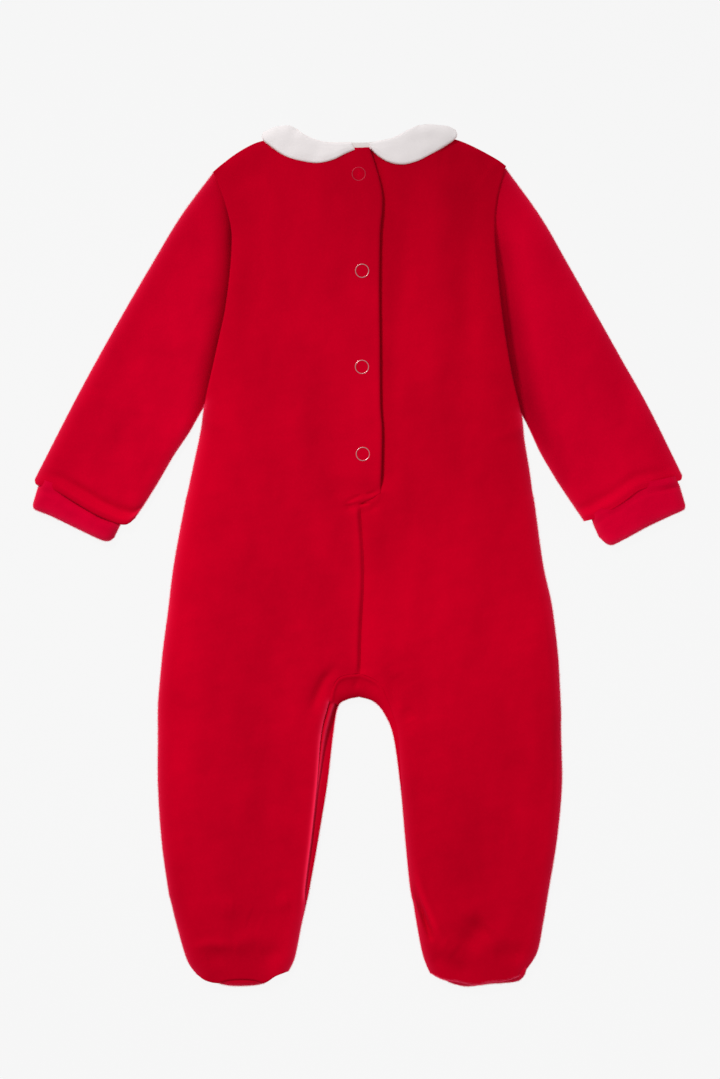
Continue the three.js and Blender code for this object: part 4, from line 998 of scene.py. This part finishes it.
def sole(name, line, side):
    shares = np.linspace(0, 1, 90)
    toe = along(line, shares)
    reach = spread(SOLE_DEPTH, 10)
    xy = toe[:, None] + np.stack([np.zeros_like(reach), reach], axis=-1)[None]
    curl = clamp(1 - reach / 3.0)[None] * np.ones((90, 1))
    flat = rounded(curl)
    top = raised(xy, MIDDLE + 2.4 * flat)
    bottom = raised(xy, MIDDLE - 1.6 * flat)
    hair = rim(top, ["first_column"], 60 + side)
    # Painted pink sheen along the toe.
    return mesh_object(name, [folded(top, bottom)], BODY_RED, up=0.0, hair=hair,
                       edges=[(toe, 0.4, 1.4)])


def collar(name, table, side):
    u = spread(80.0, 44) / 80.0
    v = spread(18.0, 12) / 18.0

    def face(neck, outer, upper):
        shares_u, shares_v = np.meshgrid(u, v, indexing="ij")
        a, b = along(neck, shares_u), along(outer, shares_u)
        xy = a + (b - a) * shares_v[..., None]
        bend = bulge(table["fold"], shares_v)
        xy = xy + bend * smooth(0, 1, shares_u)[..., None]
        curl, _ = curl_at(xy, [(sampled(table["fold"]), [1, 1])])
        flat = rounded(curl)
        high = HEIGHT + GAP + CLOTH + 1.2
        middle = high / 2
        if upper:
            lap = FLAP_LIFT * smooth(-30, -10, xy[..., 0]) if side < 0 else 0.0
            edge = edge_distance(xy, (True, False, True, True))
            height = high + lap + 0.7 * smooth(0, 6, edge) + 0.25 * wobble(xy, 16, side)
            z = middle + (height - middle) * flat - lip_drop(edge, 1.7) * flat
        else:
            z = middle - middle * flat
        return raised(xy, z)

    upper = face(table["back_neck"], table["back_outer"], True)
    lower = face(table["front_neck"], table["front_outer"], False)
    outside = edge_lines(upper, ["last_column", "first_column", "first_row"])
    hair = fibres([(line - [0, 0, 0.5], way) for line, way in outside], 70 + side, 0.7)
    upper = turned_under(upper, 2.0, (True, False, True, True))
    lower = turned_under(lower, -1.4, (True, False, True, True))
    points = np.concatenate([upper, lower[::-1][1:]])
    return mesh_object(name, [points], WHITE, up=0.0, hair=hair, tips=WHITE_PILE_PAINTED_PINK)


def neck_binding():
    x = np.linspace(-36, 36, 120)
    line = sampled(BACK_NECK)
    y = np.interp(x, line[:, 0], line[:, 1])
    reach = spread(BINDING_WIDTH + 1.5, 6) - 1.5
    xy = np.stack([np.broadcast_to(x[:, None], (120, len(reach))), y[:, None] + reach[None]], axis=-1)
    z = HEIGHT + 1.3 + FLAP_LIFT * smooth(-30, -10, xy[..., 0]) * (1 - smooth(9, 16, xy[..., 0])) * 0.6
    points = turned_under(with_lip(xy, z, 0.8), CLOTH)
    return mesh_object("neck_binding", [points], TAPE)


def ring(name, centre, sink, metal):
    """A thin round ring, pressed a little into the pile of the flap."""
    steps, around = 72, 12
    angle = np.linspace(0, 2 * math.pi, steps + 1)[:, None]
    turn = np.linspace(0, 2 * math.pi, around + 1)[None]
    radius = RING_RADIUS + RING_TUBE * np.cos(turn)
    x = centre[0] + radius * np.cos(angle)
    y = centre[1] + radius * np.sin(angle)
    floor = back_height(np.array([[centre]], float), -1)[0, 0]
    z = floor + sink + RING_TUBE * np.sin(turn) + 0.08 * np.sin(2 * angle + centre[1])
    points = np.stack([x, y, z], axis=-1)
    return mesh_object(name, [points], metal, up=0.0)


backs = [back_panel("back_left", LEFT, LEFT_TOP, LEFT_TOE, -1, LEFT_RED),
         back_panel("back_right", RIGHT, RIGHT_TOP, RIGHT_TOE, 1, BODY_RED)]
front_panel = front()
band = crotch_band()
sleeves = [sleeve("sleeve_left", SLEEVE_LEFT, -1, 1.0, 1.5),
           sleeve("sleeve_right", SLEEVE_RIGHT, 1, 0.5, 0.4)]
cuffs = [cuff("cuff_left", SLEEVE_LEFT, -1, 1.2), cuff("cuff_right", SLEEVE_RIGHT, 1, -0.9)]
soles = [sole("sole_left", SOLE_LEFT, -1), sole("sole_right", SOLE_RIGHT, 1)]
collars = [collar("collar_left", COLLAR_LEFT, -1), collar("collar_right", COLLAR_RIGHT, 1)]
binding = neck_binding()
rings = [ring("snap_ring_1", SNAPS[0], -0.1, DULL_METAL_PAINTED_RED)]
rings += [ring(f"snap_ring_{k + 1}", SNAPS[k], 0.08, METAL_PAINTED_PINK_REFLECTION) for k in (1, 2, 3)]


# Surface, light and camera


def floor_material():
    nodes = Nodes("floor")
    glow = nodes.add("ShaderNodeEmission")
    glow.inputs["Color"].default_value = (1, 1, 1, 1)
    glow.inputs["Strength"].default_value = 0.907
    matt = nodes.add("ShaderNodeBsdfDiffuse")
    matt.inputs["Color"].default_value = (0.022, 0.022, 0.022, 1)
    both = nodes.add("ShaderNodeAddShader")
    nodes.link(glow.outputs[0], both.inputs[0])
    nodes.link(matt.outputs[0], both.inputs[1])
    nodes.link(both.outputs[0], nodes.out.inputs["Surface"])
    return nodes.material


def add_floor():
    size = 3.0
    mesh = bpy.data.meshes.new("floor")
    corners = [(-size, -size, 0), (size, -size, 0), (size, size, 0), (-size, size, 0)]
    mesh.from_pydata(corners, [], [(0, 1, 2, 3)])
    mesh.materials.append(floor_material())
    floor = bpy.data.objects.new("floor", mesh)
    bpy.context.scene.collection.objects.link(floor)


def add_light():
    world = bpy.data.worlds.new("studio")
    world.use_nodes = True
    background = world.node_tree.nodes["Background"]
    background.inputs["Color"].default_value = (1.0, 1.0, 1.0, 1.0)
    background.inputs["Strength"].default_value = 0.50
    bpy.context.scene.world = world
    key = bpy.data.lights.new("key", "SPOT")
    key.energy = 108.0
    key.shadow_soft_size = 0.22
    key.spot_size = math.radians(28)
    key.spot_blend = 1.0
    lamp = bpy.data.objects.new("key", key)
    place, target = mathutils.Vector((-0.72, 1.05, 1.25)), mathutils.Vector((-0.025, -0.095, 0.0))
    lamp.location = place
    lamp.rotation_euler = (place - target).to_track_quat("Z", "Y").to_euler()
    bpy.context.scene.collection.objects.link(lamp)


def add_camera():
    distance = 3.2
    seen_height = PHOTO_HEIGHT * PIXEL * 0.001
    lens = bpy.data.cameras.new("camera")
    lens.sensor_fit = "VERTICAL"
    lens.sensor_height = 24.0
    lens.lens = 24.0 * (distance - 0.007) / seen_height
    camera = bpy.data.objects.new("camera", lens)
    camera.location = (0.00058, 0.0106, distance)
    bpy.context.scene.collection.objects.link(camera)
    bpy.context.scene.camera = camera


add_floor()
add_light()
add_camera()
bpy.context.scene.view_settings.view_transform = "Standard"
